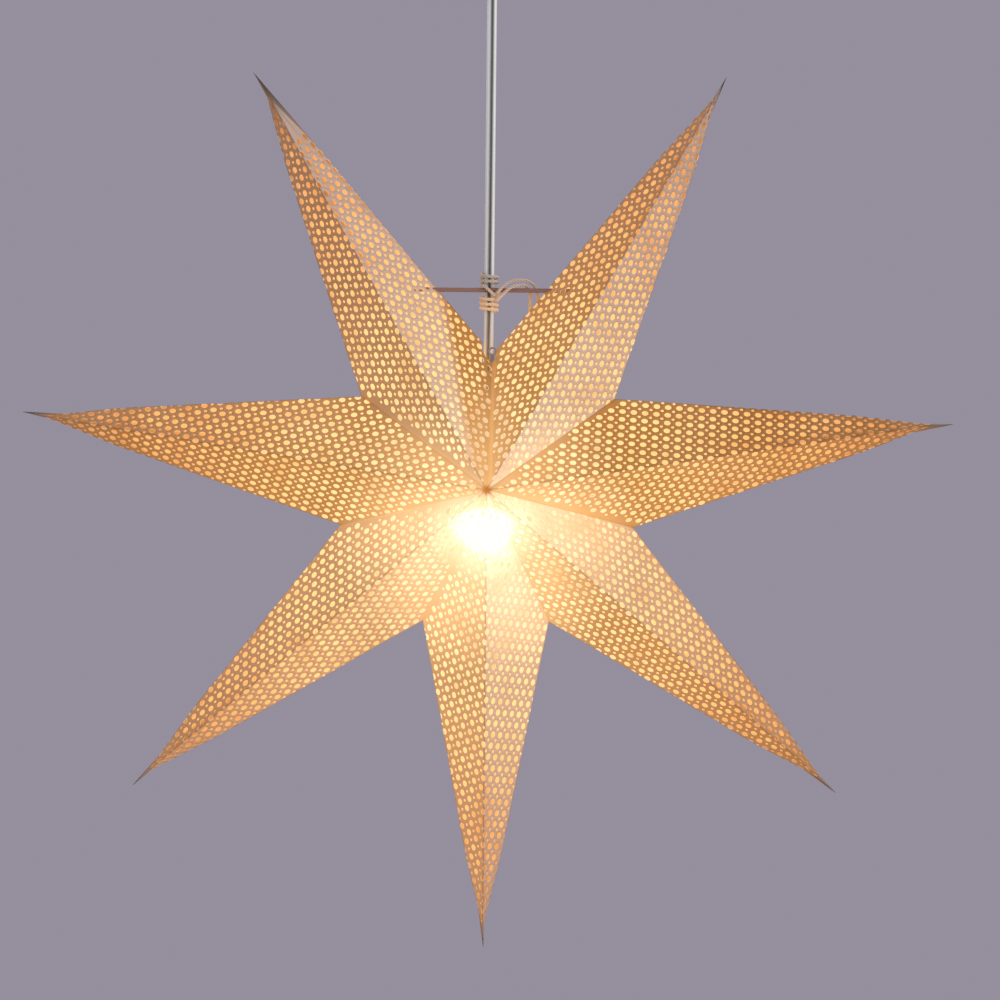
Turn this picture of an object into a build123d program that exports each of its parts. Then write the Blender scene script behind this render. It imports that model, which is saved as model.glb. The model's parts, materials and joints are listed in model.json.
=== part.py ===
from build123d import *
from math import cos, pi, radians, sin, sqrt, tan
import os

os.makedirs("parts", exist_ok=True)

# Paper star lantern with seven points, hanging by its cord from a ceiling fitting.
# The origin is the middle of the ceiling plate's upper face, with +Z up and the front facing -Y.

# Paper star
tip_radius = 271.0  # from the star's middle to each tip
half_depth = 62.0  # from the star's middle plane to its front and back corner
valley_radius = 88.0  # from the middle to the glued valleys' outer ends
seam_radius = 74.0  # the same at the open seam on top
seam_gap = 60.0  # angle between the two upper points
outer_step = 52.0  # angle from an upper point to the next one down
seam_angle = 88.3  # the seam stands a little to the right of straight up
paper = 0.4
glue_width = 5.0  # glued margin along each valley
glue_root = 1.0
glue_stop = 14.0  # the margins end this far from the middle
seam_fold = 4.0  # margins folded inwards along the front half of the seam
star_drop = 330.0  # from the ceiling to the star's middle

# Cord, flat with two cores
cord_width = 5.6
cord_thick = 2.9
web_share = 0.7  # thickness of the web between the cores, of the cord's
wire_radius = 1.0

# Hanger rod
rod_radius = 1.3
rod_height = 111.0  # above the star's middle
rod_past_fold = 14.0  # how far each end goes into a point
rod_hole_gap = 0.35
knot_gap = 0.15  # between the rod and the cord behind it

# Cord opening at the top of the seam
notch_side = 0.9  # beside the cord
notch_front = 3.8  # before the star's middle plane
notch_back = 9.4  # behind the star's middle plane
notch_depth = 16.0  # below the seam's outer end
notch_height = 30.0

# Tie string
string_radius = 1.0
wrap_radius = 4.8
wrap_place = -1.0  # the middle of its turns, between cord and rod
wrap_pitch = 2.8
turns_above = 2.5
turns_below = 3.5
wrap_step = 5.4  # the drop where the string crosses the rod
wrap_cross = 35.0  # half the angle of that crossing

# Seam clip
clip_wire = 0.5
clip_ring = 1.9
clip_rise = 2.0  # of the ring's middle over the seam's outer end
clip_width = 2.5
clip_thick = 1.0
clip_leg = 8.0
clip_leg_start = 7.2  # along the valley from its outer end
clip_leg_depth = 2.0  # below the valley line
clip_leg_height = 1.5
clip_gap = 0.05

# Ceiling fitting
plate_radius = 36.0
plate_thick = 2.0
screw_hole_radius = 2.2
screw_hole_place = 27.0
supply_hole_radius = 6.0
supply_hole_place = 20.0
cup_radius = 41.0
cup_height = 36.0
cup_wall = 2.0
cup_corner = 8.0
tab_thick = 1.5
tab_width = 10.0
tab_length = 12.0
tab_gap = 0.6
cup_screw_radius = 1.5
cup_screw_height = 8.0  # below the ceiling
cup_screw_head = 3.0
cup_screw_head_height = 1.8
screw_past = 1.0  # how far a screw comes out behind its nut thread
screw_gap = 0.1
slot_width = 0.6
slot_depth = 0.6
collar_radius = 12.0
collar_height = 8.0
pivot_drop = 38.0  # from the ceiling to the middle of the rubber bush

# Rubber bush, a ball with a hole for the cord
bush_radius = 7.6
bush_half_height = 3.2
bush_bore = 4.6
bush_gap = 0.3
seat_half_height = 3.0

# Cord clamp
clamp_width = 20.0
clamp_height = 9.0
clamp_thick = 2.0
clamp_drop = 14.0  # from the ceiling to the bar's top
clamp_screw_place = 6.5
clamp_screw_radius = 1.4
clamp_screw_head = 2.6
clamp_screw_head_height = 1.6
clamp_gap = 0.1

# Terminal block
block_length = 24.0
block_width = 12.0
block_height = 11.0
block_place = 20.0  # from the middle towards the front
pole_place = 6.0
pole_hole_radius = 1.7
terminal_screw_radius = 1.6
terminal_screw_depth = 3.0
terminal_screw_place = 3.2
wire_in_pole = 3.5

# Cord split: the upper stretch leans with the pendant, and the lower one also turns with it
cord_split = 30.0  # below the bush's middle
cord_joint_gap = 0.3

# Lamp holder, heights from the star's middle
holder_foot = 2.0
skirt_top = 34.0
skirt_radius = 13.0
holder_wall = 1.4
holder_cap_radius = 13.6
holder_cap_top = 46.0
holder_cap_slope = 5.0
holder_cap_crown = 7.0
nut_radius = 5.6
nut_top = 54.0
nut_shank_radius = 4.4
nut_shank_length = 3.6
nut_gap = 0.2
grip_gap = 0.3
core_gap = 0.3
core_disc = 4.0  # thickness of its top
shell_radius = 7.2  # inside the brass screw shell
shell_wall = 0.4
shell_recess = 1.2  # its foot above the core's foot
shell_rim = 5.5  # inner radius of its turned-in top
core_screw_place = 7.5
core_screw_radius = 1.4
core_screw_head = 2.3
core_screw_head_height = 1.5
core_screw_depth = 3.0

# Bulb with a 14 mm screw cap, heights from the star's middle
contact_top = 31.5
globe_height = -24.0
globe_radius = 22.5
glass_wall = 0.7
neck_radius = 7.6
neck_top = 8.6
cap_radius = 6.9
cap_flange_radius = 8.4
cap_wall = 0.4
cap_length = 24.0
cap_shoulder = 3.0
cap_flange_height = 1.6
cap_taper = 3.0
insulator_radius = 3.6
insulator_height = 1.6
contact_radius = 2.4
contact_height = 1.2
part_gap = 0.3
stem_radius = 4.6
stem_length = 17.0
joint_angle = 34.0  # on the globe, from straight up, where the curve to the neck begins
filament_radius = 0.35
filament_width = 7.0
filament_drop = 13.0
filament_gap = 0.2
filament_bend = 1.5

# Worked out from the sizes above
star_y = -(cord_thick / 2 + rod_radius + knot_gap)
star_z = -star_drop
rod_z = star_z + rod_height
notch_floor = seam_radius - notch_depth
clip_ring_height = seam_radius + clip_rise
pivot_z = -pivot_drop
inner_step = (360.0 - seam_gap - 2 * outer_step) / 4


def star_at(radius, angle, depth=0.0):
    """A place on the star: the angle is counter-clockwise from the right, seen from the front."""
    turn = radians(angle)
    return Vector(radius * cos(turn), star_y + depth, star_z + radius * sin(turn))


def plane_through(a, b, c, inner):
    """The plane through three places, facing away from the place inside."""
    normal = (b - a).cross(c - a).normalized()
    if normal.dot(inner - a) > 0:
        normal = normal * -1.0
    return Plane(origin=a, z_dir=normal)


def cut_block(planes):
    """What is left of a large block behind every one of the planes."""
    side = 6.0 * tip_radius
    with BuildPart() as block:
        Box(side, side, side)
        for plane in planes:
            split(bisect_by=plane, keep=Keep.BOTTOM)
    return block.part


def save(piece, name):
    piece.part.label = name
    export_step(piece.part, f"parts/{name}.step")


# The points in their order round the star, from the upper left one on, with the valley after each
point_names = [
    "star_point_upper_left",
    "star_point_left",
    "star_point_lower_left",
    "star_point_bottom",
    "star_point_lower_right",
    "star_point_right",
    "star_point_upper_right",
]
first_angle = 90.0 + seam_gap / 2
steps = [outer_step] + [inner_step] * 4 + [outer_step]
point_angles = [first_angle + sum(steps[:index]) for index in range(len(point_names))]
valley_angles = [seam_angle]
for index in range(len(steps)):
    valley_angles.append((point_angles[index] + point_angles[index + 1]) / 2)
valley_angles.append(seam_angle + 360.0)
valley_radii = [seam_radius] + [valley_radius] * len(steps) + [seam_radius]

front = star_at(0, 0, -half_depth)
back = star_at(0, 0, half_depth)


def point_planes(index, depth):
    """The four facets of one point, moved inwards by a depth."""
    tip = star_at(tip_radius, point_angles[index])
    middle = star_at(valley_radius / 2, point_angles[index])
    planes = []
    for side in (index, index + 1):
        valley = star_at(valley_radii[side], valley_angles[side])
        for corner in (front, back):
            planes.append(plane_through(tip, valley, corner, middle).offset(-depth))
    return planes


def valley_plane(side, index, distance=0.0):
    """The plane of one valley, facing out of the point beside it, moved out by a distance."""
    valley = star_at(valley_radius, valley_angles[side])
    middle = star_at(valley_radius / 2, point_angles[index])
    return plane_through(front, back, valley, middle).offset(distance)


def sheet_between(index, outer_depth, inner_depth, sides):
    """The layer of one point between two depths, within the given side planes."""
    outer = cut_block(point_planes(index, outer_depth) + sides)
    inner = cut_block(point_planes(index, inner_depth))
    with BuildPart() as layer:
        add(outer)
        add(inner, mode=Mode.SUBTRACT)
    return layer.part


# Cord opening and rod holes, both cut from the two upper points
with BuildPart() as cord_opening:
    with Locations((0, star_y + (notch_back - notch_front) / 2, star_z + notch_floor + notch_height / 2)):
        Box(cord_width + 2 * notch_side, notch_front + notch_back, notch_height)


def fold_place(point_index, side_index):
    """Where the side fold of an upper point is as high as the rod."""
    tip = star_at(tip_radius, point_angles[point_index])
    valley = star_at(valley_radii[side_index], valley_angles[side_index])
    share = (rod_z - valley.Z) / (tip.Z - valley.Z)
    return valley.X + share * (tip.X - valley.X)


rod_left = fold_place(0, 0) - rod_past_fold
rod_right = fold_place(len(point_names) - 1, len(valley_angles) - 1) + rod_past_fold
rod_plane = Plane(origin=(rod_left, star_y, rod_z), x_dir=(0, 1, 0), z_dir=(1, 0, 0))


with BuildPart() as rod_holes:
    with BuildSketch(rod_plane):
        Circle(rod_radius + rod_hole_gap)
    extrude(amount=rod_right - rod_left)

with BuildPart() as margin_stop:
    with BuildSketch(Plane(origin=front, x_dir=(1, 0, 0), z_dir=(0, 1, 0))):
        Circle(glue_stop)
    extrude(amount=2 * half_depth)

last_index = len(point_names) - 1
opening_front = Plane(origin=(0, star_y - notch_front, star_z), z_dir=(0, 1, 0))
for index, name in enumerate(point_names):
    own_sides = [valley_plane(index, index), valley_plane(index + 1, index)]
    walls = sheet_between(index, 0.0, paper, own_sides)
    margins = []
    if index < last_index:
        # A margin past the next valley lies under the neighbour's facets, glued to them
        before_valley = own_sides[1].offset(-glue_root)
        root_sides = own_sides + [Plane(origin=before_valley.origin, z_dir=before_valley.z_dir * -1.0)]
        margins.append(sheet_between(index, paper, 2 * paper, root_sides))
        flap_edge = valley_plane(index + 1, index, glue_width)
        flap_sides = [valley_plane(index + 1, index + 1), flap_edge, valley_plane(index + 2, index + 1)]
        margins.append(sheet_between(index + 1, paper, 2 * paper, flap_sides))
    seam_sides = []
    if index == 0:
        seam_sides = own_sides[:1]
    if index == last_index:
        seam_sides = own_sides[1:]
    for plane in seam_sides:
        # In front of the cord opening the seam's margins are folded in and lie against each other
        behind = plane.offset(-paper)
        seam_planes = own_sides + [Plane(origin=behind.origin, z_dir=behind.z_dir * -1.0), opening_front]
        margins.append(sheet_between(index, paper / 2, seam_fold, seam_planes))
    trimmed = [margin - margin_stop.part for margin in margins]
    with BuildPart() as star_point:
        add(walls)
        for margin in trimmed:
            add(margin)
        if seam_sides:
            add(cord_opening.part, mode=Mode.SUBTRACT)
            add(rod_holes.part, mode=Mode.SUBTRACT)
    save(star_point, name)

with BuildPart() as hanger_rod:
    with BuildSketch(rod_plane):
        Circle(rod_radius)
    extrude(amount=rod_right - rod_left)
    fillet(hanger_rod.edges(), radius=rod_radius * 0.4)
save(hanger_rod, "hanger_rod")

# Cord: a straight stretch hangs from the rubber bush, held taut by the star's weight
cord_end = star_z + holder_cap_top - nut_shank_length + nut_gap
split_z = pivot_z - cord_split

# The figure of two round cores side by side, with a web between them
core_radius = cord_thick / 2
core_place = cord_width / 2 - core_radius
with BuildSketch() as cord_figure:
    with Locations((core_place, 0), (-core_place, 0)):
        Circle(core_radius)
    Rectangle(2 * core_place, cord_thick * web_share)

# The upper stretch leans about the middle of the bush, so its top is rounded
rounding = cord_width / 2
with BuildPart() as cord_upper_stretch:
    extrude(Plane.XY.offset(pivot_z) * cord_figure.sketch, amount=rounding)
    with Locations((0, 0, pivot_z)):
        Sphere(rounding, mode=Mode.INTERSECT)
    extrude(Plane.XY.offset(pivot_z) * cord_figure.sketch, amount=split_z + cord_joint_gap - pivot_z)
save(cord_upper_stretch, "cord_upper_stretch")

with BuildPart() as cord_lower_stretch:
    extrude(Plane.XY.offset(split_z) * cord_figure.sketch, amount=cord_end - split_z)
save(cord_lower_stretch, "cord_lower_stretch")

# Inside the cup the cord runs from the clamp down into the bush
jacket_top = -(clamp_drop - cord_thick / 2)
with BuildPart() as cord_inside_cup:
    extrude(Plane.XY.offset(jacket_top) * cord_figure.sketch, amount=pivot_z - jacket_top)
    with Locations((0, 0, pivot_z)):
        Sphere(rounding + bush_gap, mode=Mode.SUBTRACT)
save(cord_inside_cup, "cord_inside_cup")


# Rubber bush: a ball zone with a bore, caught in the cup's collar
with BuildPart() as outlet_bush:
    with Locations((0, 0, pivot_z)):
        Sphere(bush_radius)
        Box(3 * bush_radius, 3 * bush_radius, 2 * bush_half_height, mode=Mode.INTERSECT)
        Cylinder(bush_bore, 3 * bush_half_height, mode=Mode.SUBTRACT)
    rims = outlet_bush.edges().filter_by(GeomType.CIRCLE).filter_by(lambda rim: rim.radius < bush_bore + 0.01)
    fillet(rims, radius=0.6)
save(outlet_bush, "outlet_bush")

# Cup: a shell of revolution, open at the ceiling, with a collar that catches the bush
cup_floor = -cup_height
collar_top = pivot_z + seat_half_height + (collar_height - 2 * seat_half_height)
collar_foot = pivot_z - seat_half_height
with BuildPart() as ceiling_cup:
    with BuildSketch(Plane.XZ):
        with BuildLine():
            Line((0, 0), (cup_radius, 0))
            Line((cup_radius, 0), (cup_radius, cup_floor + cup_corner))
            RadiusArc((cup_radius, cup_floor + cup_corner), (cup_radius - cup_corner, cup_floor), cup_corner)
            Line((cup_radius - cup_corner, cup_floor), (0, cup_floor))
            Line((0, cup_floor), (0, 0))
        make_face()
    revolve(axis=Axis.Z)
    top_faces = ceiling_cup.faces().sort_by(Axis.Z)[-1]
    offset(amount=-cup_wall, openings=top_faces)
    with BuildSketch(Plane.XY.offset(collar_foot)):
        Circle(collar_radius)
    extrude(amount=collar_top - collar_foot)
    with Locations((0, 0, pivot_z)):
        Sphere(bush_radius + bush_gap, mode=Mode.SUBTRACT)
        seat_mouth = sqrt((bush_radius + bush_gap) ** 2 - seat_half_height**2)
        Cylinder(seat_mouth, 4 * collar_height, mode=Mode.SUBTRACT)
    with Locations(Plane(origin=(0, 0, -cup_screw_height), z_dir=(1, 0, 0))):
        Cylinder(cup_screw_radius + screw_gap, 3 * cup_radius, mode=Mode.SUBTRACT)
save(ceiling_cup, "ceiling_cup")

# Ceiling plate with two side tabs for the cup screws and a tongue for the cord clamp
tab_place = cup_radius - cup_wall - tab_gap - tab_thick / 2
tongue_front = cord_thick / 2 + clamp_gap
clamp_foot = -(clamp_drop + clamp_height)
clamp_middle = -(clamp_drop + clamp_height / 2)
clamp_screws_at = [(-clamp_screw_place, clamp_middle), (clamp_screw_place, clamp_middle)]
with BuildPart() as ceiling_plate:
    with BuildSketch(Plane.XY.offset(-plate_thick)):
        Circle(plate_radius)
        with Locations((-screw_hole_place, 0), (screw_hole_place, 0)):
            Circle(screw_hole_radius, mode=Mode.SUBTRACT)
        with Locations((0, supply_hole_place)):
            Circle(supply_hole_radius, mode=Mode.SUBTRACT)
    extrude(amount=plate_thick)
    for side in (-1, 1):
        reach = tab_place + tab_thick / 2 - plate_radius + tab_width / 2
        with Locations((side * (tab_place + tab_thick / 2 - reach / 2), 0, -plate_thick / 2)):
            Box(reach, tab_width, plate_thick)
        with Locations((side * tab_place, 0, -tab_length / 2)):
            Box(tab_thick, tab_width, tab_length)
    with Locations(Plane(origin=(0, 0, -cup_screw_height), z_dir=(1, 0, 0))):
        Cylinder(cup_screw_radius + screw_gap, 3 * cup_radius, mode=Mode.SUBTRACT)
    with Locations((0, tongue_front + clamp_thick / 2, clamp_foot / 2)):
        Box(clamp_width, clamp_thick, -clamp_foot)
    with BuildSketch(Plane.XZ):
        with Locations(*clamp_screws_at):
            Circle(clamp_screw_radius + screw_gap)
    extrude(amount=-2 * clamp_width, mode=Mode.SUBTRACT)
save(ceiling_plate, "ceiling_plate")

# Cup screws go through the cup's wall into the tabs
with BuildPart() as cup_screws:
    for side in (-1, 1):
        with BuildSketch(Plane(origin=(side * cup_radius, 0, -cup_screw_height), z_dir=(side, 0, 0))):
            Circle(cup_screw_head)
        extrude(amount=cup_screw_head_height)
        with BuildSketch(Plane(origin=(side * cup_radius, 0, -cup_screw_height), z_dir=(-side, 0, 0))):
            Circle(cup_screw_radius)
        extrude(amount=cup_wall + tab_gap + tab_thick + screw_past)
    heads = cup_screws.faces().sort_by(Axis.X)
    fillet((heads[0].edges() + heads[-1].edges()).filter_by(GeomType.CIRCLE), radius=0.6)
save(cup_screws, "cup_screws")

# Clamp bar with its two screws, which squeeze the cord against the tongue
bar_back = -(cord_thick / 2 + clamp_gap)
with BuildPart() as cord_clamp_bar:
    with Locations((0, bar_back - clamp_thick / 2, clamp_middle)):
        Box(clamp_width, clamp_thick, clamp_height)
    fillet(cord_clamp_bar.edges().filter_by(Axis.Y), radius=1.5)
    with BuildSketch(Plane.XZ):
        with Locations(*clamp_screws_at):
            Circle(clamp_screw_radius + screw_gap)
    extrude(amount=2 * clamp_width, mode=Mode.SUBTRACT)
save(cord_clamp_bar, "cord_clamp_bar")

clamp_stack = 2 * clamp_thick + cord_thick + 2 * clamp_gap
with BuildPart() as clamp_screws:
    with BuildSketch(Plane.XZ.offset(-(bar_back - clamp_thick))):
        with Locations(*clamp_screws_at):
            Circle(clamp_screw_head)
    extrude(amount=clamp_screw_head_height)
    with BuildSketch(Plane.XZ.offset(-(bar_back - clamp_thick))):
        with Locations(*clamp_screws_at):
            Circle(clamp_screw_radius)
    extrude(amount=-(clamp_stack + screw_past))
save(clamp_screws, "clamp_screws")

# Terminal block under the plate, with a hole through it for each pole and two screws on each
block_top = -plate_thick
pole_z = block_top - block_height / 2
poles_at = [(-pole_place, pole_z), (pole_place, pole_z)]
terminal_screws_at = [
    (side * pole_place, -block_place + shift)
    for side in (-1, 1)
    for shift in (-terminal_screw_place, terminal_screw_place)
]
with BuildPart() as terminal_block:
    with Locations((0, -block_place, block_top - block_height / 2)):
        Box(block_length, block_width, block_height)
    fillet(terminal_block.edges().filter_by(Axis.Z), radius=1.5)
    with BuildSketch(Plane.XZ.offset(block_place)):
        with Locations(*poles_at):
            Circle(pole_hole_radius)
    extrude(amount=block_width, both=True, mode=Mode.SUBTRACT)
    with BuildSketch(Plane.XY.offset(block_top - block_height)):
        with Locations(*terminal_screws_at):
            Circle(terminal_screw_radius + screw_gap)
    extrude(amount=block_height / 2, mode=Mode.SUBTRACT)
save(terminal_block, "terminal_block")

with BuildPart() as terminal_screws:
    with BuildSketch(Plane.XY.offset(block_top - block_height)):
        with Locations(*terminal_screws_at):
            Circle(terminal_screw_radius)
    extrude(amount=terminal_screw_depth)
    with BuildSketch(Plane.XY.offset(block_top - block_height)):
        with Locations(*terminal_screws_at):
            SlotOverall(terminal_screw_radius * 2.4, slot_width)
    extrude(amount=slot_depth, mode=Mode.SUBTRACT)
save(terminal_screws, "terminal_screws")


def wire_along(points, radius):
    """A wire whose corners are arcs as large as its runs allow, with the smallest radius printed."""
    radii = []
    for before, corner, after in zip(points, points[1:], points[2:]):
        run_in = Vector(corner) - Vector(before)
        run_out = Vector(after) - Vector(corner)
        turn = radians(run_in.get_angle(run_out))
        radii.append(0.45 * min(run_in.length, run_out.length) / tan(turn / 2))
    with BuildPart() as wire:
        with BuildLine() as route:
            FilletPolyline(*points, radius=radii)
        path = route.wires()[0]
        with BuildSketch(Plane(origin=path @ 0, z_dir=path % 0)):
            Circle(radius)
        sweep(path=path)
    expected = pi * radius**2 * path.length
    print("radii", [round(value, 1) for value in radii], "volume share", round(wire.part.volume / expected, 4))
    return wire.part


ceiling_runs = []
for side in (-1, 1):
    route = [
        (side * core_place, 0, jacket_top),
        (side * core_place, 0, jacket_top + 2.6),
        (side * (core_place + 0.9), -2.6, jacket_top + 4.4),
        (side * (core_place + 2.6), -6.0, pole_z - 0.6),
        (side * (pole_place - 0.5), -10.5, pole_z - 0.1),
        (side * pole_place, -block_place + block_width / 2 - wire_in_pole, pole_z),
    ]
    ceiling_runs.append(wire_along(route, wire_radius))
with BuildPart() as ceiling_wires:
    for run in ceiling_runs:
        add(run)
save(ceiling_wires, "ceiling_wires")


# Lamp holder
def section_of(profile):
    """Half a section through the cord's line, from (radius, height over the star's middle)."""
    corners = [(radius, star_z + height) for radius, height in profile]
    return Plane.XZ * make_face(Polyline(*corners, close=True))


cap_foot = contact_top - cap_length
skirt_inner = skirt_radius - holder_wall
skirt_section = section_of(
    [
        (skirt_inner, holder_foot),
        (skirt_radius, holder_foot),
        (skirt_radius, skirt_top),
        (skirt_inner, skirt_top),
    ]
)
with BuildPart() as holder_skirt:
    revolve(skirt_section, axis=Axis.Z)
    fillet(holder_skirt.edges().group_by(Axis.Z)[0], radius=0.4)
save(holder_skirt, "holder_skirt")

cap_inner = holder_cap_radius - holder_wall
cap_bend = holder_cap_top - holder_cap_slope
nut_hole = nut_shank_radius + nut_gap
holder_cap_section = section_of(
    [
        (cap_inner, skirt_top),
        (holder_cap_radius, skirt_top),
        (holder_cap_radius, cap_bend),
        (holder_cap_crown, holder_cap_top),
        (nut_hole, holder_cap_top),
        (nut_hole, holder_cap_top - holder_wall),
        (holder_cap_crown - holder_wall / 2, holder_cap_top - holder_wall),
        (cap_inner, cap_bend - holder_wall / 2),
    ]
)
with BuildPart() as holder_cap:
    revolve(holder_cap_section, axis=Axis.Z)
save(holder_cap, "holder_cap")

nut_middle = (nut_top + holder_cap_top) / 2
with BuildPart() as cord_grip_nut:
    with BuildSketch(Plane.XY.offset(star_z + holder_cap_top)):
        RegularPolygon(nut_radius, 6, major_radius=False)
    extrude(amount=nut_middle - holder_cap_top)
    with BuildSketch(Plane.XY.offset(star_z + nut_middle)):
        Circle(nut_radius)
    extrude(amount=nut_top - nut_middle, taper=14)
    with BuildSketch(Plane.XY.offset(star_z + holder_cap_top)):
        Circle(nut_shank_radius)
    extrude(amount=-nut_shank_length)
    with BuildSketch(Plane.XY.offset(star_z + holder_cap_top - nut_shank_length)):
        Circle(cord_width / 2 + grip_gap)
    extrude(amount=nut_top, mode=Mode.SUBTRACT)
save(cord_grip_nut, "cord_grip_nut")

# Insulating core: a thick-topped sleeve round the brass shell
core_foot = cap_foot + cap_flange_height + cap_taper + part_gap
core_top = skirt_top + 2.0
core_under = core_top - core_disc
core_outer = skirt_inner - core_gap
shell_outer = shell_radius + shell_wall
core_section = section_of(
    [
        (shell_outer + core_gap, core_foot),
        (core_outer, core_foot),
        (core_outer, core_top),
        (0, core_top),
        (0, core_under),
        (shell_outer + core_gap, core_under),
    ]
)
core_screws_at = [(-core_screw_place, 0), (core_screw_place, 0)]
with BuildPart() as insulating_core:
    revolve(core_section, axis=Axis.Z)
    with BuildSketch(Plane.XY.offset(star_z + core_top)):
        with Locations(*core_screws_at):
            Circle(core_screw_radius + screw_gap)
        Circle(contact_radius / 2 + screw_gap)
    extrude(amount=-2 * core_disc, mode=Mode.SUBTRACT)
save(insulating_core, "insulating_core")

# Brass shell that the bulb screws into, hung from the core by its turned-in rim
shell_foot = core_foot + shell_recess
shell_section = section_of(
    [
        (shell_radius, shell_foot),
        (shell_outer, shell_foot),
        (shell_outer, core_under),
        (shell_rim, core_under),
        (shell_rim, core_under - shell_wall),
        (shell_radius, core_under - shell_wall),
    ]
)
with BuildPart() as screw_shell:
    revolve(shell_section, axis=Axis.Z)
save(screw_shell, "screw_shell")

# Centre contact: a spring leaf on a rivet through the core
with BuildPart() as centre_contact:
    with BuildSketch(Plane.XY.offset(star_z + core_top + core_screw_head_height / 2)):
        Circle(contact_radius / 2)
    extrude(amount=-(core_disc + core_screw_head_height / 2))
    with BuildSketch(Plane.XY.offset(star_z + contact_top + part_gap)):
        SlotOverall(contact_radius * 4, contact_radius * 1.6)
    extrude(amount=core_under - contact_top - part_gap)
save(centre_contact, "centre_contact")

with BuildPart() as holder_terminal_screws:
    with BuildSketch(Plane.XY.offset(star_z + core_top)):
        with Locations(*core_screws_at):
            Circle(core_screw_head)
    extrude(amount=core_screw_head_height)
    with BuildSketch(Plane.XY.offset(star_z + core_top)):
        with Locations(*core_screws_at):
            Circle(core_screw_radius)
    extrude(amount=-core_screw_depth)
    with BuildSketch(Plane.XY.offset(star_z + core_top + core_screw_head_height)):
        with Locations(*core_screws_at):
            SlotOverall(core_screw_head * 1.7, slot_width)
    extrude(amount=-slot_depth, mode=Mode.SUBTRACT)
save(holder_terminal_screws, "holder_terminal_screws")

# The two cores of the cord come out of the jacket and end on the terminal screws' heads
lead_radius = wire_radius * 0.8
wire_end_z = star_z + core_top + core_screw_head_height + lead_radius
holder_runs = []
for side in (-1, 1):
    route = [
        (side * core_place, 0, cord_end),
        (side * core_place, 0, cord_end - 1.2),
        (side * (core_place + 1.4), 0.9, cord_end - 2.4),
        (side * (core_screw_place - 2.2), 1.4, wire_end_z + 0.1),
        (side * (core_screw_place + 0.6), 0.6, wire_end_z),
    ]
    holder_runs.append(wire_along(route, lead_radius))
with BuildPart() as holder_wires:
    for run in holder_runs:
        add(run)
save(holder_wires, "holder_wires")

# Bulb
cap_top = contact_top - contact_height - insulator_height
cap_turn = cap_foot + cap_flange_height
cap_section = section_of(
    [
        (cap_flange_radius, cap_foot),
        (cap_flange_radius, cap_turn),
        (cap_radius, cap_turn + cap_taper),
        (cap_radius, cap_top - cap_shoulder),
        (insulator_radius + part_gap + cap_wall, cap_top),
        (insulator_radius + part_gap, cap_top),
        (cap_radius - cap_wall, cap_top - cap_shoulder),
        (cap_radius - cap_wall, cap_turn + cap_taper),
        (cap_flange_radius - cap_wall, cap_turn),
        (cap_flange_radius - cap_wall, cap_foot),
    ]
)
with BuildPart() as bulb_cap:
    revolve(cap_section, axis=Axis.Z)
save(bulb_cap, "bulb_cap")

# The globe runs into the neck through a hollow curve; the neck goes a little way into the cap
neck_inner = neck_radius - glass_wall


def globe_line(radius, neck, foot_arc):
    """Half of the glass outline from the neck's top round to the lowest place."""
    joint = (radius * sin(radians(joint_angle)), star_z + globe_height + radius * cos(radians(joint_angle)))
    tangent = Vector(cos(radians(joint_angle)), -sin(radians(joint_angle)))
    blend = (neck, star_z + neck_top - foot_arc)
    Line((neck, star_z + neck_top), blend)
    TangentArc(joint, blend, tangent=tangent * -1.0)
    ThreePointArc(joint, (radius, star_z + globe_height), (0, star_z + globe_height - radius))


def globe_blend(radius, neck):
    """How far under the neck's top the hollow curve ends, so that it runs in straight."""
    joint = Vector(radius * sin(radians(joint_angle)), globe_height + radius * cos(radians(joint_angle)))
    bend = (joint.X - neck) / (1 - cos(radians(90.0 - joint_angle)))
    return neck_top - (joint.Y + bend * sin(radians(90.0 - joint_angle)))


with BuildPart() as bulb_glass:
    with BuildSketch(Plane.XZ):
        with BuildLine():
            globe_line(globe_radius, neck_radius, globe_blend(globe_radius, neck_radius))
            inner_radius = globe_radius - glass_wall
            globe_line(inner_radius, neck_inner, globe_blend(inner_radius, neck_inner))
            Line((neck_radius, star_z + neck_top), (neck_inner, star_z + neck_top))
            Line(
                (0, star_z + globe_height - globe_radius),
                (0, star_z + globe_height - inner_radius),
            )
        make_face()
    revolve(axis=Axis.Z)
save(bulb_glass, "bulb_glass")

# Glass stem that carries the two leads and the filament
stem_top = neck_top - 1.0
stem_section = section_of(
    [
        (0, stem_top),
        (neck_inner - clamp_gap, stem_top),
        (neck_inner - clamp_gap, stem_top - 1.0),
        (stem_radius, stem_top - 2.0),
        (stem_radius * 0.42, stem_top - stem_length * 0.55),
        (stem_radius * 0.34, stem_top - stem_length),
        (0, stem_top - stem_length),
    ]
)
with BuildPart() as bulb_stem:
    revolve(stem_section, axis=Axis.Z)
save(bulb_stem, "bulb_stem")

filament_top = star_z + stem_top - stem_length - filament_gap
filament_low = filament_top - filament_drop
filament_start = stem_radius * 0.2
with BuildPart() as bulb_filament:
    with BuildLine(Plane.XZ) as filament_route:
        Polyline(
            (-filament_start, filament_top),
            (-filament_width, filament_low),
            (0, filament_low - filament_width * 0.3),
            (filament_width, filament_low),
            (filament_start, filament_top),
        )
        fillet(filament_route.vertices().group_by(Axis.Z)[:-1], radius=filament_bend)
    filament_path = filament_route.wires()[0]
    with BuildSketch(Plane(origin=filament_path @ 0, z_dir=filament_path % 0)):
        Circle(filament_radius)
    sweep(path=filament_path)
save(bulb_filament, "bulb_filament")

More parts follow.
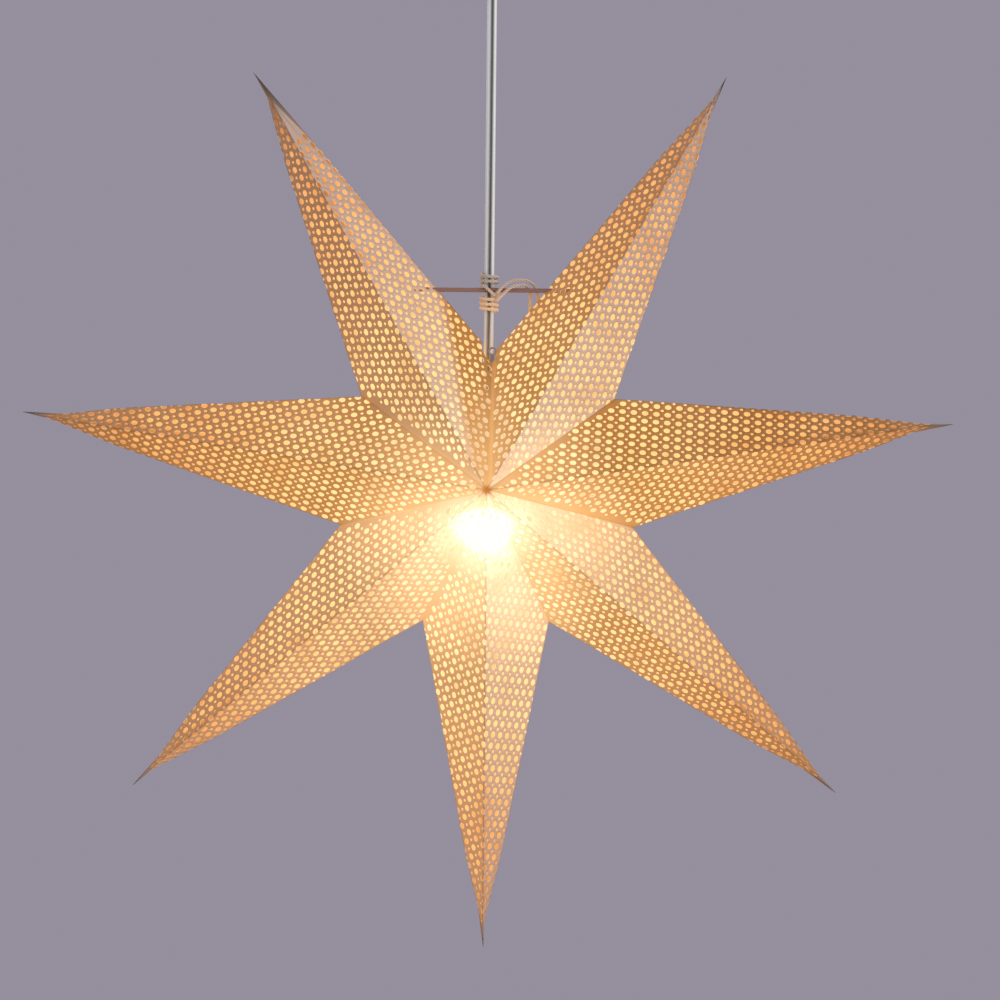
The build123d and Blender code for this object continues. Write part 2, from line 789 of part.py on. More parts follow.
# The contact end comes down with the bulb; being round, it needn't be turned to look right
insulator_section = section_of(
    [
        (0, cap_top - cap_wall),
        (insulator_radius, cap_top - cap_wall),
        (contact_radius + 0.4, cap_top + insulator_height),
        (0, cap_top + insulator_height),
    ]
)
with BuildPart() as bulb_insulator:
    revolve(insulator_section, axis=Axis.Z)
save(bulb_insulator, "bulb_insulator")

with BuildPart() as bulb_contact:
    with BuildSketch(Plane.XY.offset(star_z + contact_top - contact_height)):
        Circle(contact_radius)
    extrude(amount=contact_height)
    fillet(bulb_contact.faces().sort_by(Axis.Z)[-1].edges(), radius=0.5)
save(bulb_contact, "bulb_contact")

# Seam clip: a ring above the seam, on a yoke in the cord opening, with a leg on each side of the
# two folded margins
seam_top = star_at(seam_radius, seam_angle)
along_seam = (front - seam_top).normalized()
across_seam = (front - seam_top).cross(back - seam_top).normalized()
across_seam = across_seam if across_seam.X > 0 else across_seam * -1.0
clip_plane = Plane(origin=seam_top, x_dir=across_seam, z_dir=along_seam)
clip_y = star_y - notch_front + screw_gap + clip_thick / 2
leg_thick = clip_width / 2 - paper - clip_gap
leg_reach = clip_leg_depth + clip_leg_height / 2
yoke_foot = clip_plane.from_local_coords((0, -leg_reach, clip_leg_start)).Z
yoke_top = star_z + clip_ring_height - clip_ring
yoke_x = star_at((yoke_foot + yoke_top) / 2 - star_z, seam_angle).X
with BuildPart() as seam_clip:
    with BuildSketch(clip_plane.offset(clip_leg_start)):
        with Locations(
            (paper + clip_gap + leg_thick / 2, -clip_leg_depth),
            (-paper - clip_gap - leg_thick / 2, -clip_leg_depth),
        ):
            Rectangle(leg_thick, clip_leg_height)
    extrude(amount=clip_leg)
    with Locations(Location((yoke_x, clip_y, (yoke_foot + yoke_top) / 2), (0, 90 - seam_angle, 0))):
        Box(clip_width, clip_thick, yoke_top - yoke_foot)
    ring_middle = star_at(clip_ring_height, seam_angle)
    with Locations(Plane(origin=(ring_middle.X, clip_y, ring_middle.Z), z_dir=(0, 1, 0))):
        Torus(clip_ring, clip_wire)
save(seam_clip, "seam_clip")


# Tie string: wound round the cord above and below the rod, crossing in front of it
def wrap_at(angle):
    """A place on the winding, where angle 0 is the crossing in front of the rod."""
    beyond = max(abs(angle) - wrap_cross, 0.0)
    drop = wrap_step / 2 * min(abs(angle) / wrap_cross, 1.0) + wrap_pitch * beyond / 360
    turn = radians(angle)
    height = rod_z + (drop if angle < 0 else -drop)
    return Vector(wrap_radius * sin(turn), wrap_place - wrap_radius * cos(turn), height)


def wrap_heading(angle):
    return (wrap_at(angle + 0.5) - wrap_at(angle - 0.5)).normalized()


def quarter_stops(first, last):
    count = round((last - first) / 90)
    return [first + 90 * step for step in range(count + 1)]


wrap_stops = quarter_stops(-360 * turns_above, -90) + [-wrap_cross, wrap_cross]
wrap_stops += quarter_stops(90, 360 * turns_below)
with BuildPart() as tie_string_wrap:
    with BuildLine() as wrap_route:
        start = wrap_at(wrap_stops[0])
        Line(start - wrap_heading(wrap_stops[0]) * 2 * string_radius, start)
        for low, high in zip(wrap_stops, wrap_stops[1:]):
            # Two arcs that meet in the middle, tangent to the winding at both ends
            run = wrap_at(high) - wrap_at(low)
            headings = wrap_heading(low) + wrap_heading(high)
            square = 4 - headings.dot(headings)
            lean = run.dot(headings)
            reach = (sqrt(lean**2 + square * run.dot(run)) - lean) / square
            first_corner = wrap_at(low) + wrap_heading(low) * reach
            second_corner = wrap_at(high) - wrap_heading(high) * reach
            meeting = (first_corner + second_corner) * 0.5
            TangentArc(wrap_at(low), meeting, tangent=wrap_heading(low))
            TangentArc(meeting, wrap_at(high), tangent=second_corner - first_corner)
        finish = wrap_at(wrap_stops[-1])
        Line(finish, finish + wrap_heading(wrap_stops[-1]) * 2 * string_radius)
    wrap_path = wrap_route.wires()[0]
    with BuildSketch(Plane(origin=wrap_path @ 0, z_dir=wrap_path % 0)):
        Circle(string_radius)
    sweep(path=wrap_path)
save(tie_string_wrap, "tie_string_wrap")

wrap_share = tie_string_wrap.part.volume / (pi * string_radius**2 * wrap_path.length)
samples = [wrap_path @ (index / 600) for index in range(601)]
sample_run = wrap_path.length / 600
apart = int(4 * string_radius / sample_run)
least = min(
    (samples[low] - samples[high]).length
    for low in range(len(samples))
    for high in range(low + apart, len(samples))
)
print("tie string wrap: volume share", round(wrap_share, 4), "least gap", round(least - 2 * string_radius, 2))

# Its two tails rise in an arc to the right, cross over the rod and hang down behind it
inner_tail = [
    (4.6, -6.0, -5.6),
    (8.6, -6.9, -1.4),
    (12.4, -6.9, 2.0),
    (17.0, -5.7, 3.2),
    (20.8, -2.5, 3.2),
    (23.4, 1.6, 0.2),
    (23.8, 4.6, -5.2),
    (23.6, 7.2, -10.6),
    (23.3, 10.6, -17.6),
    (23.2, 15.8, -24.6),
]
outer_tail = [
    (4.6, -6.0, -1.6),
    (7.9, -7.1, 2.8),
    (12.1, -7.0, 5.6),
    (17.6, -5.8, 6.3),
    (22.8, -2.7, 5.5),
    (26.6, 1.6, 2.0),
    (28.0, 4.9, -3.4),
    (28.7, 8.2, -8.9),
    (29.2, 12.8, -15.2),
    (29.9, 18.9, -21.6),
]
tails = []
for tail in (inner_tail, outer_tail):
    tails.append(wire_along([(x, y, rod_z + z) for x, y, z in tail], string_radius))
with BuildPart() as tie_string_tails:
    for strand in tails:
        add(strand)
save(tie_string_tails, "tie_string_tails")
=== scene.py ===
import json
import math
import bpy
import numpy as np
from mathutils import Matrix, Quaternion, Vector, geometry

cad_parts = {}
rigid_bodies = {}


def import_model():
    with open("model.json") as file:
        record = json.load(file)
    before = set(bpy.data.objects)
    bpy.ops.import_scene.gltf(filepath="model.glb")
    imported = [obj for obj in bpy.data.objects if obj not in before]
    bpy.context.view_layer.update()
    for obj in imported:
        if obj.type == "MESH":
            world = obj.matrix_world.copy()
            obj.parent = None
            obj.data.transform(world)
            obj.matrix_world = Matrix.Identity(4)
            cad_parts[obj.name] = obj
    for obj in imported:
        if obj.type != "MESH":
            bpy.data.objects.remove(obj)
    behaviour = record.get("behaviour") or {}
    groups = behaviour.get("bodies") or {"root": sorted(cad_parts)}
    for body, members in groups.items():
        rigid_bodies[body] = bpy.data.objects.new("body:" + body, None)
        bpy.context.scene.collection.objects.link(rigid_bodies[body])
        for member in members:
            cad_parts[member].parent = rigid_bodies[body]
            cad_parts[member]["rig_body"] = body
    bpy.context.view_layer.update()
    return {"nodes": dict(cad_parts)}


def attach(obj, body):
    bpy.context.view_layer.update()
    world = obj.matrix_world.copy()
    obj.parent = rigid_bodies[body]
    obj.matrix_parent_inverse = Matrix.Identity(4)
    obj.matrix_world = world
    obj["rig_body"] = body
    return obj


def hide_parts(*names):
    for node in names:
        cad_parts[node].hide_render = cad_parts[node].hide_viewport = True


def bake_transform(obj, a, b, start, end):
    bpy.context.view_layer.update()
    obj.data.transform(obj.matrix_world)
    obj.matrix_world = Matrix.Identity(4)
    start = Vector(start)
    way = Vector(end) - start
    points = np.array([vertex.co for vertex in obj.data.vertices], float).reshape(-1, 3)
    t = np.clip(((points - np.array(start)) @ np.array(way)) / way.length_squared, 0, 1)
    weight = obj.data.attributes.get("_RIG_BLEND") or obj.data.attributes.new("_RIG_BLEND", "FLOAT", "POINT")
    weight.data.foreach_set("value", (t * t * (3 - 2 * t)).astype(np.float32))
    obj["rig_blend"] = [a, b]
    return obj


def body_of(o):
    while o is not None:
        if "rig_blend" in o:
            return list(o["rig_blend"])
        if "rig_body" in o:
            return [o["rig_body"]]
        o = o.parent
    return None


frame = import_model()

scene = bpy.context.scene

# Sizes of the part's source, in millimetres
star_y = -2.9
star_z = -330.0
rod_z = star_z + 111.0
tip_radius = 271.0
half_depth = 62.0
point_angles = [120, 172, 221, 270, 319, 368, 420]
valley_angles = [88.3, 146, 196.5, 245.5, 294.5, 343.5, 394, 448.3]
valley_radii = [74] + [88] * 6 + [74]
point_names = ["upper_left", "left", "lower_left", "bottom", "lower_right", "right", "upper_right"]
bulb_centre = Vector((0, 0, -0.354))


def star_at(radius, angle, depth=0.0):
    turn = math.radians(angle)
    return np.array([radius * math.cos(turn), star_y + depth, star_z + radius * math.sin(turn)])


# ---- camera: straight in front, a little above, at the photograph's distance and framing
camera_distance = 2.4
elevation, roll = math.radians(4.0), math.radians(0.6)
picture_width = 0.5765
aim_right, aim_down = 0.0074945, 0.0098005
right = Vector((1, 0, 0))
back = Vector((0, -math.cos(elevation), math.sin(elevation)))
up = Vector((0, math.sin(elevation), math.cos(elevation)))
middle = Vector((0, star_y / 1000, star_z / 1000)) + right * aim_right - up * aim_down
camera_data = bpy.data.cameras.new("photo_camera")
camera_data.sensor_width = 36.0
camera_data.lens = camera_data.sensor_width * camera_distance / picture_width
camera = bpy.data.objects.new("photo_camera", camera_data)
scene.collection.objects.link(camera)
camera.rotation_mode = "QUATERNION"
camera.location = middle + back * camera_distance
camera.rotation_quaternion = (-back).to_track_quat("-Z", "Y")
camera.rotation_quaternion = Quaternion(back, roll) @ camera.rotation_quaternion
camera_data.clip_start = 0.05
camera_data.clip_end = 60
scene.camera = camera


# ---- material helpers
grain_depth = 0.0002
black, white = (0.0, 0.0, 0.0), (1.0, 1.0, 1.0)


def material(name, base=(0.8, 0.8, 0.8), roughness=0.5, metallic=0.0, coat=0.0):
    made = bpy.data.materials.new(name)
    made.use_nodes = True
    shader = made.node_tree.nodes["Principled BSDF"]
    shader.inputs["Base Color"].default_value = (*base, 1)
    shader.inputs["Roughness"].default_value = roughness
    shader.inputs["Metallic"].default_value = metallic
    shader.inputs["Coat Weight"].default_value = coat
    return made, made.node_tree, shader


def node(tree, kind, **values):
    made = tree.nodes.new(kind)
    for key, value in values.items():
        if key in made.inputs:
            made.inputs[key].default_value = value
        else:
            setattr(made, key, value)
    return made


def math_node(tree, operation, first, second=None, third=None, clamp=False):
    made = node(tree, "ShaderNodeMath", operation=operation, use_clamp=clamp)
    for socket, value in zip(made.inputs, (first, second, third)):
        if value is None:
            continue
        if isinstance(value, (int, float)):
            socket.default_value = value
        else:
            tree.links.new(value, socket)
    return made.outputs[0]


def vector_node(tree, operation, first, second=None):
    made = node(tree, "ShaderNodeVectorMath", operation=operation)
    tree.links.new(first, made.inputs[0])
    if second is not None:
        made.inputs[1].default_value = second
    return made.outputs


def split(tree, vector):
    made = tree.nodes.new("ShaderNodeSeparateXYZ")
    tree.links.new(vector, made.inputs[0])
    return made.outputs


def attribute(tree, name):
    return node(tree, "ShaderNodeAttribute", attribute_name=name).outputs["Fac"]


def mix_colour(tree, factor, first, second, blend="MIX"):
    made = node(tree, "ShaderNodeMix", data_type="RGBA", blend_type=blend)
    for index, value in ((0, factor), (6, first), (7, second)):
        socket = made.inputs[index]
        if isinstance(value, (int, float)):
            socket.default_value = value
        elif isinstance(value, tuple):
            socket.default_value = (*value, 1)
        else:
            tree.links.new(value, socket)
    return made.outputs[2]


def smooth(tree, value, low, high):
    made = node(tree, "ShaderNodeMapRange", interpolation_type="SMOOTHSTEP")
    tree.links.new(value, made.inputs[0])
    made.inputs[1].default_value = low
    made.inputs[2].default_value = high
    return made.outputs[0]


def object_coordinates(tree):
    return tree.nodes.new("ShaderNodeTexCoord").outputs["Object"]


def noise(tree, scale, detail=3.0, stretch=None):
    made = node(tree, "ShaderNodeTexNoise", Scale=scale, Detail=detail)
    coordinates = object_coordinates(tree)
    if stretch:
        mapping = node(tree, "ShaderNodeMapping")
        mapping.inputs["Scale"].default_value = stretch
        tree.links.new(coordinates, mapping.inputs["Vector"])
        coordinates = mapping.outputs[0]
    tree.links.new(coordinates, made.inputs["Vector"])
    return made.outputs["Fac"]


def bump(tree, shader, height, strength, distance):
    made = node(tree, "ShaderNodeBump", Strength=strength, Distance=distance)
    tree.links.new(height, made.inputs["Height"])
    tree.links.new(made.outputs[0], shader.inputs["Normal"])


def emit(tree, shader, colour, strength=1.0):
    tree.links.new(colour, shader.inputs["Emission Color"])
    shader.inputs["Emission Strength"].default_value = strength


def varied(name, low, high, scale, roughness, metallic=0.0, coat=0.0, bumps=0.0, stretch=None):
    """A material whose colour and roughness vary over the surface, with a fine relief."""
    made, tree, shader = material(name, low, roughness, metallic, coat)
    value = noise(tree, scale, 4.0, stretch)
    tree.links.new(mix_colour(tree, value, low, high), shader.inputs["Base Color"])
    rough = math_node(tree, "MULTIPLY_ADD", value, 0.2, roughness - 0.1)
    tree.links.new(rough, shader.inputs["Roughness"])
    if bumps:
        bump(tree, shader, noise(tree, scale * 6, 2.0, stretch), bumps, grain_depth)
    return made


# ---- paper
# The glare sits a little left of the bulb's centre and above it
glare_shift = (-0.001, 0, 0.004)
glow_reach, hot_reach, inside_reach = 0.32, 0.10, 0.30
front_corner = (0, (star_y - half_depth) / 1000, star_z / 1000)


def spot_distance(tree):
    """Distance from the bulb, and from the line through the bulb towards the front, in metres."""
    offset = vector_node(tree, "SUBTRACT", object_coordinates(tree), bulb_centre)[0]
    away = vector_node(tree, "LENGTH", offset)["Value"]
    x, _, z = split(tree, vector_node(tree, "SUBTRACT", offset, glare_shift)[0])
    # The bulb's bright end points down, so the glare falls off faster above
    above = math_node(tree, "MULTIPLY", math_node(tree, "MAXIMUM", z, 0.0), 0.8)
    height = math_node(tree, "ADD", z, above)
    squares = math_node(
        tree, "ADD", math_node(tree, "MULTIPLY", x, x), math_node(tree, "MULTIPLY", height, height)
    )
    return away, math_node(tree, "SQRT", squares)


def ramp(tree, value, stops):
    made = tree.nodes.new("ShaderNodeValToRGB")
    made.color_ramp.interpolation = "EASE"
    tree.links.new(value, made.inputs[0])
    elements = made.color_ramp.elements
    while len(elements) < len(stops):
        elements.new(0.5)
    for element, (place, colour) in zip(elements, stops):
        element.position = place
        element.color = (*colour, 1)
    return made.outputs[0]


def paper_outside():
    made, tree, shader = material("paper_outside", roughness=0.62)
    shader.inputs["Specular IOR Level"].default_value = 0.25
    painted_lit_share, fold, tip = attribute(tree, "painted_lit_share"), attribute(tree, "fold"), attribute(tree, "tip")
    fibre = noise(tree, 900.0, 5.0)
    cloud = noise(tree, 28.0, 2.0)
    # Painted light and shade: a shaded and a lit copy of the paper, mixed by each facet's painted lit share
    # and random clouds
    shaded_paper = mix_colour(tree, fibre, (0.25, 0.105, 0.022), (0.32, 0.145, 0.036))
    pale = mix_colour(tree, fibre, (0.43, 0.34, 0.29), (0.52, 0.425, 0.365))
    uneven = math_node(tree, "MULTIPLY_ADD", cloud, 0.30, -0.15)
    blend = math_node(tree, "ADD", painted_lit_share, uneven, clamp=True)
    body = mix_colour(tree, blend, shaded_paper, pale)
    # Painted shade: the glued tips are darker grey
    body = mix_colour(tree, tip, body, (0.30, 0.28, 0.25))
    # Painted shade: the paper is darker along its folds
    crease_shade_mask = smooth(tree, fold, 0.2, 1.0)
    crease_shaded = mix_colour(tree, 0.45, body, (0.12, 0.065, 0.04))
    body = mix_colour(tree, crease_shade_mask, crease_shaded, body)
    tree.links.new(body, shader.inputs["Base Color"])
    # Painted light: the bulb's glow through the paper is emission by distance from the bulb, with a glare in
    # front of it and each facet's painted glow strength
    away, aside = spot_distance(tree)
    glow = ramp(tree, math_node(tree, "DIVIDE", away, glow_reach), [
        (0.16, (0.58, 0.33, 0.125)),
        (0.30, (0.22, 0.10, 0.028)),
        (0.55, (0.115, 0.045, 0.012)),
        (1.0, (0.02, 0.008, 0.003)),
    ])
    hot = ramp(tree, math_node(tree, "DIVIDE", aside, hot_reach), [
        (0.11, (1.0, 1.0, 0.92)),
        (0.21, (0.50, 0.42, 0.29)),
        (0.38, (0.18, 0.125, 0.07)),
        (0.64, (0.06, 0.03, 0.012)),
        (1.0, black),
    ])
    through = ramp(tree, math_node(tree, "DIVIDE", away, glow_reach), [
        (0.10, (0.10, 0.055, 0.02)),
        (0.45, (0.24, 0.105, 0.026)),
        (1.0, (0.10, 0.035, 0.008)),
    ])
    shining = mix_colour(tree, attribute(tree, "warmth"), black, through)
    soft = mix_colour(tree, 1.0, glow, shining, "ADD")
    # Painted shade dims the glow along the folds too
    soft = mix_colour(tree, crease_shade_mask, mix_colour(tree, 0.32, soft, black), soft)
    light = mix_colour(tree, 1.0, soft, hot, "ADD")
    light = mix_colour(tree, tip, light, black)
    # The paper's edges at the front corner glow orange
    from_corner = vector_node(tree, "DISTANCE", object_coordinates(tree), front_corner)["Value"]
    corner_share = smooth(tree, from_corner, 0.0012, 0.0046)
    light = mix_colour(tree, corner_share, (0.48, 0.17, 0.025), light)
    emit(tree, shader, light)
    bump(tree, shader, fibre, 0.25, grain_depth)
    made.cycles.emission_sampling = "NONE"
    return made


def paper_inside():
    made, tree, shader = material("paper_inside", (0.55, 0.42, 0.26), 0.7)
    away, _ = spot_distance(tree)
    patch = noise(tree, 55.0, 2.0)
    # Painted light: the bulb's light on the inner side is emission that falls off with distance from the
    # bulb, with painted patches of shade
    light = ramp(tree, math_node(tree, "DIVIDE", away, inside_reach), [
        (0.14, (1.0, 0.88, 0.62)),
        (0.34, (0.96, 0.67, 0.29)),
        (0.62, (0.92, 0.46, 0.15)),
        (0.86, (0.68, 0.29, 0.085)),
        (0.97, (0.16, 0.08, 0.05)),
    ])
    shade = smooth(tree, patch, 0.25, 0.6)
    dim = mix_colour(tree, shade, (0.62, 0.50, 0.42), white)
    light = mix_colour(tree, 1.0, light, dim, "MULTIPLY")
    # Little light reaches the side folds far out
    inward = smooth(tree, attribute(tree, "fold"), 0.5, 7.0)
    kept = mix_colour(tree, inward, (0.26, 0.22, 0.20), white)
    kept = mix_colour(tree, smooth(tree, away, 0.12, 0.22), white, kept)
    light = mix_colour(tree, 1.0, light, kept, "MULTIPLY")
    emit(tree, shader, light, 0.74)
    bump(tree, shader, noise(tree, 900.0, 4.0), 0.2, grain_depth)
    made.cycles.emission_sampling = "NONE"
    return made


# ---- star points: sheets folded from one perforated piece each
pitch = 6.5
big_hole, small_hole = 1.92, 0.92
big_sides, small_sides = 12, 8
lattice_turn = 18.4
lattice_start, lattice_margin = np.array([2.1, 1.3]), 3.0
sheet = 0.4
# The tissue that closes the rear facets' holes on their inner side
tissue = 0.1
# The cord's opening at the seam, and the hole for the rod
opening_side, opening_low = 3.7, star_z + 58.0
opening_front, opening_rear = star_y - 3.8, star_y + 9.4
rod_hole, rod_hole_sides = 1.65, 24
# No holes lie this near a tip, or on the upper left point's bare tip
tip_margin, bare_tip = 15.0, 46.0
corner_margin, valley_margin = 4.0, 0.35
weld_step, least_sliver = 2e-4, 0.002


def unit(vector):
    return vector / np.linalg.norm(vector)


def flat_triangle(tip, valley, corner):
    """The unfolded facet's tip, along +x from its corner, and its valley end, on +y's side."""
    ridge = np.linalg.norm(tip - corner)
    edge = np.linalg.norm(valley - corner)
    fold = np.linalg.norm(valley - tip)
    x = (ridge**2 + edge**2 - fold**2) / (2 * ridge)
    return np.array([ridge, 0.0]), np.array([x, math.sqrt(edge**2 - x**2)])


def mirrored(point, first, second):
    along = unit(second - first)
    offset = point - first
    return first + 2 * along * (offset @ along) - offset


def edge_distance(points, first, second, inner):
    """Distances from an edge, positive on the inner place's side, and that side's direction."""
    along = unit(second - first)
    normal = np.array([-along[1], along[0]])
    if (inner - first) @ normal < 0:
        normal = -normal
    return (points - first) @ normal, normal


def from_place(points, place):
    return np.hypot(*(points - place).T)


def lattice(triangle, turn):
    """Big and small holes of the lattice that reach the facet: x, y, radius, sides, turn."""
    axis = np.array([math.cos(math.radians(turn)), math.sin(math.radians(turn))])
    cross = np.array([-axis[1], axis[0]])
    low, high = triangle.min(0) - lattice_margin, triangle.max(0) + lattice_margin
    reach = int(np.abs(np.concatenate([low, high])).max() * 1.5 / pitch) + 2
    steps = np.arange(-reach, reach + 1)
    a, b = np.meshgrid(steps, steps)
    a, b = a.ravel(), b.ravel()
    holes = []
    for shift, radius, sides in ((0.0, big_hole, big_sides), (0.5, small_hole, small_sides)):
        places = ((a + shift)[:, None] * axis + (b + shift)[:, None] * cross) * pitch
        places = places + lattice_start
        inside = np.all((places > low) & (places < high), axis=1)
        holes += [(x, y, radius, sides, turn) for x, y in places[inside]]
    return holes


def ring(hole):
    x, y, radius, sides, turn = hole
    angles = math.radians(turn) + (np.arange(sides) + 0.5) * 2 * math.pi / sides
    return np.stack([x + radius * np.cos(angles), y + radius * np.sin(angles)], 1)


def inside_convex(points, polygon):
    after = np.roll(polygon, -1, axis=0)
    area = np.sum(polygon[:, 0] * after[:, 1] - after[:, 0] * polygon[:, 1])
    sign = 1 if area > 0 else -1
    result = np.ones(len(points), bool)
    for corner, run in zip(polygon, after - polygon):
        offset = points - corner
        result &= sign * (run[0] * offset[:, 1] - run[1] * offset[:, 0]) > 0
    return result


def plane_crossing(triangle, corners3, axis, value):
    """The line where a plane of the cord's opening crosses the facet, if it does."""
    heights = np.array([corner[axis] - value for corner in corners3])
    ends = []
    for first, second in ((0, 1), (1, 2), (2, 0)):
        if heights[first] * heights[second] < 0:
            share = heights[first] / (heights[first] - heights[second])
            ends.append(triangle[first] + share * (triangle[second] - triangle[first]))
    return ends


def facet(triangle, corners3, holes, keep_hole, cut_planes, cut_rings):
    """One facet: flat places, how they lift, the paper's triangles and those inside its holes."""
    basis = np.linalg.inv(np.array([triangle[1] - triangle[0], triangle[2] - triangle[0]]))
    frame3 = np.array([corners3[1] - corners3[0], corners3[2] - corners3[0]])

    def lift(places):
        return corners3[0] + ((places - triangle[0]) @ basis) @ frame3

    middle = triangle.mean(0)
    centres = np.array([hole[:2] for hole in holes])
    least = np.min([
        edge_distance(centres, triangle[first], triangle[second], middle)[0]
        for first, second in ((0, 1), (1, 2), (2, 0))
    ], axis=0)
    kept = [hole for hole, away in zip(holes, least) if away > -hole[2] and keep_hole(hole)]
    points, edges = [], []
    for outline in [triangle] + [ring(hole) for hole in kept] + list(cut_rings):
        start, sides = len(points), len(outline)
        points += [tuple(place) for place in outline]
        edges += [(start + k, start + (k + 1) % sides) for k in range(sides)]
    for axis, value in cut_planes:
        ends = plane_crossing(triangle, corners3, axis, value)
        if len(ends) == 2:
            edges.append((len(points), len(points) + 1))
            points += [tuple(place) for place in ends]
    made = geometry.delaunay_2d_cdt([Vector(place) for place in points], edges, [], 0, 1e-5)
    flat = np.array([tuple(place) for place in made[0]])
    faces = np.array([tuple(face) for face in made[2] if len(face) == 3])
    # Slivers along the edges, without any width, would bridge the cord's opening
    runs = flat[np.roll(faces, -1, axis=1)] - flat[faces]
    doubled = np.abs(runs[:, 0, 0] * runs[:, 1, 1] - runs[:, 0, 1] * runs[:, 1, 0])
    faces = faces[doubled > least_sliver * np.linalg.norm(runs, axis=2).max(axis=1)]
    centroid = flat[faces].mean(1)
    inside = inside_convex(centroid, triangle)
    for outline in cut_rings:
        inside &= ~inside_convex(centroid, outline)
    punched = np.zeros(len(faces), bool)
    for hole in kept:
        near = np.nonzero(from_place(centroid, hole[:2]) < hole[2])[0]
        if len(near):
            punched[near[inside_convex(centroid[near], ring(hole))]] = True
    paper, lining = inside & ~punched, inside & punched
    return flat, lift, faces[paper], centroid[paper], faces[lining], centroid[lining]


# Painted light and shade per front facet: shaded deep orange brown, 0, to lit pale, 1; clockwise first.
# Each pair holds the facet's painted lit share at the star's middle and at its tip
painted_facet_light = {
    "upper_left": ((0.95, 0.90), (0.35, 0.30)),
    "left": ((0.15, 0.20), (0.02, 0.05)),
    "lower_left": ((0.50, 0.25), (0.55, 0.30)),
    "bottom": ((0.45, 0.35), (1.00, 0.45)),
    "lower_right": ((0.20, 0.10), (0.85, 0.12)),
    "right": ((0.02, 0.05), (0.0, 0.10)),
    "upper_right": ((1.00, 0.62), (0.05, 0.30)),
}
# How strongly the bulb shines through each front facet, first the clockwise side
warmths = {
    "upper_left": (0.05, 0.25),
    "left": (0.35, 0.70),
    "lower_left": (0.55, 0.90),
    "bottom": (1.15, 0.35),
    "lower_right": (0.85, 0.35),
    "right": (0.75, 0.0),
    "upper_right": (0.0, 0.40),
}
# Bands without holes along the valleys, in millimetres: first the clockwise side
bands = {
    "upper_left": (0.0, 3.4),
    "left": (0.0, 0.0),
    "lower_left": (2.4, 0.0),
    "bottom": (2.0, 0.0),
    "lower_right": (0.0, 0.0),
    "right": (3.2, 1.2),
    "upper_right": (0.0, 2.6),
}
# How much of its width a point keeps, by the distance from its tip in millimetres
pinch_profile = (
    [0, 4, 8, 12, 16, 20, 28, 40, 56],
    [0.62, 0.50, 0.38, 0.34, 0.35, 0.50, 0.74, 0.90, 1.0],
)
# The shade that the seam's neighbour casts, and the glued edge that is lit from behind
shade_width, shade_slope, shade_fade = 7.0, 0.235, 4.0
glue_width, glue_fade, glue_warmth = 3.4, 1.2, 2.2
# The last stretch before a tip is glued paper; its darker grey is painted shade, and it gets none of the
# painted glow
shaded_tip, shaded_tip_fade = 16.5, 3.0
# Side walls count as this far from a fold, and so get no painted crease shade
side_wall_fold = 5.0
uv_width, uv_shift = 400, 0.2
# The pinched tips lean a little: across the point and backwards, in millimetres
lean_reach = 16.0
tip_leans = {
    "upper_left": (0.9, -0.4),
    "left": (-0.6, 0.3),
    "lower_left": (0.5, 0.2),
    "bottom": (0.5, -0.3),
    "lower_right": (-0.6, -0.3),
    "right": (-1.2, 0.4),
    "upper_right": (0.6, -0.2),
}


def open_edges(triangles):
    """The edges that only one of the triangles has, in that triangle's own direction."""
    edges = np.concatenate([triangles[:, [0, 1]], triangles[:, [1, 2]], triangles[:, [2, 0]]])
    ordered = np.sort(edges, axis=1)
    _, position, counts = np.unique(ordered, axis=0, return_inverse=True, return_counts=True)
    return edges[counts[position.ravel()] == 1]


def outside_opening(solid):
    """Which places lie outside the cord's opening at the seam."""
    gone = (np.abs(solid[:, 0]) < opening_side) & (solid[:, 2] > opening_low)
    return ~(gone & (solid[:, 1] > opening_front) & (solid[:, 1] < opening_rear))


def rod_outline(triangle, corners3, normal):
    """The rod's hole where it goes in through the side fold, on the unfolded facet."""
    tip = corners3[1]
    basis3 = np.array([corners3[1] - corners3[0], corners3[2] - corners3[0]])
    basis2 = np.array([triangle[1] - triangle[0], triangle[2] - triangle[0]])
    outline = []
    for angle in np.arange(rod_hole_sides) * 2 * math.pi / rod_hole_sides:
        y = star_y + rod_hole * math.cos(angle)
        z = rod_z + rod_hole * math.sin(angle)
        x = tip[0] - (normal[1] * (y - tip[1]) + normal[2] * (z - tip[2])) / normal[0]
        shares = np.linalg.lstsq(basis3.T, np.array([x, y, z]) - corners3[0], rcond=None)[0]
        outline.append(triangle[0] + shares @ basis2)
    return np.array(outline)


def with_winding(triples, places, normal):
    """The triangles, wound so that their outer side faces along the normal."""
    first, second, third = (places[triples[:, k]] for k in range(3))
    flip = np.cross(second - first, third - first) @ normal < 0
    triples = triples.copy()
    triples[flip] = triples[flip][:, ::-1]
    return triples


def outward_normal(first, second, tip, centre):
    normal = unit(np.cross(first, second))
    return -normal if normal @ (centre - tip) > 0 else normal


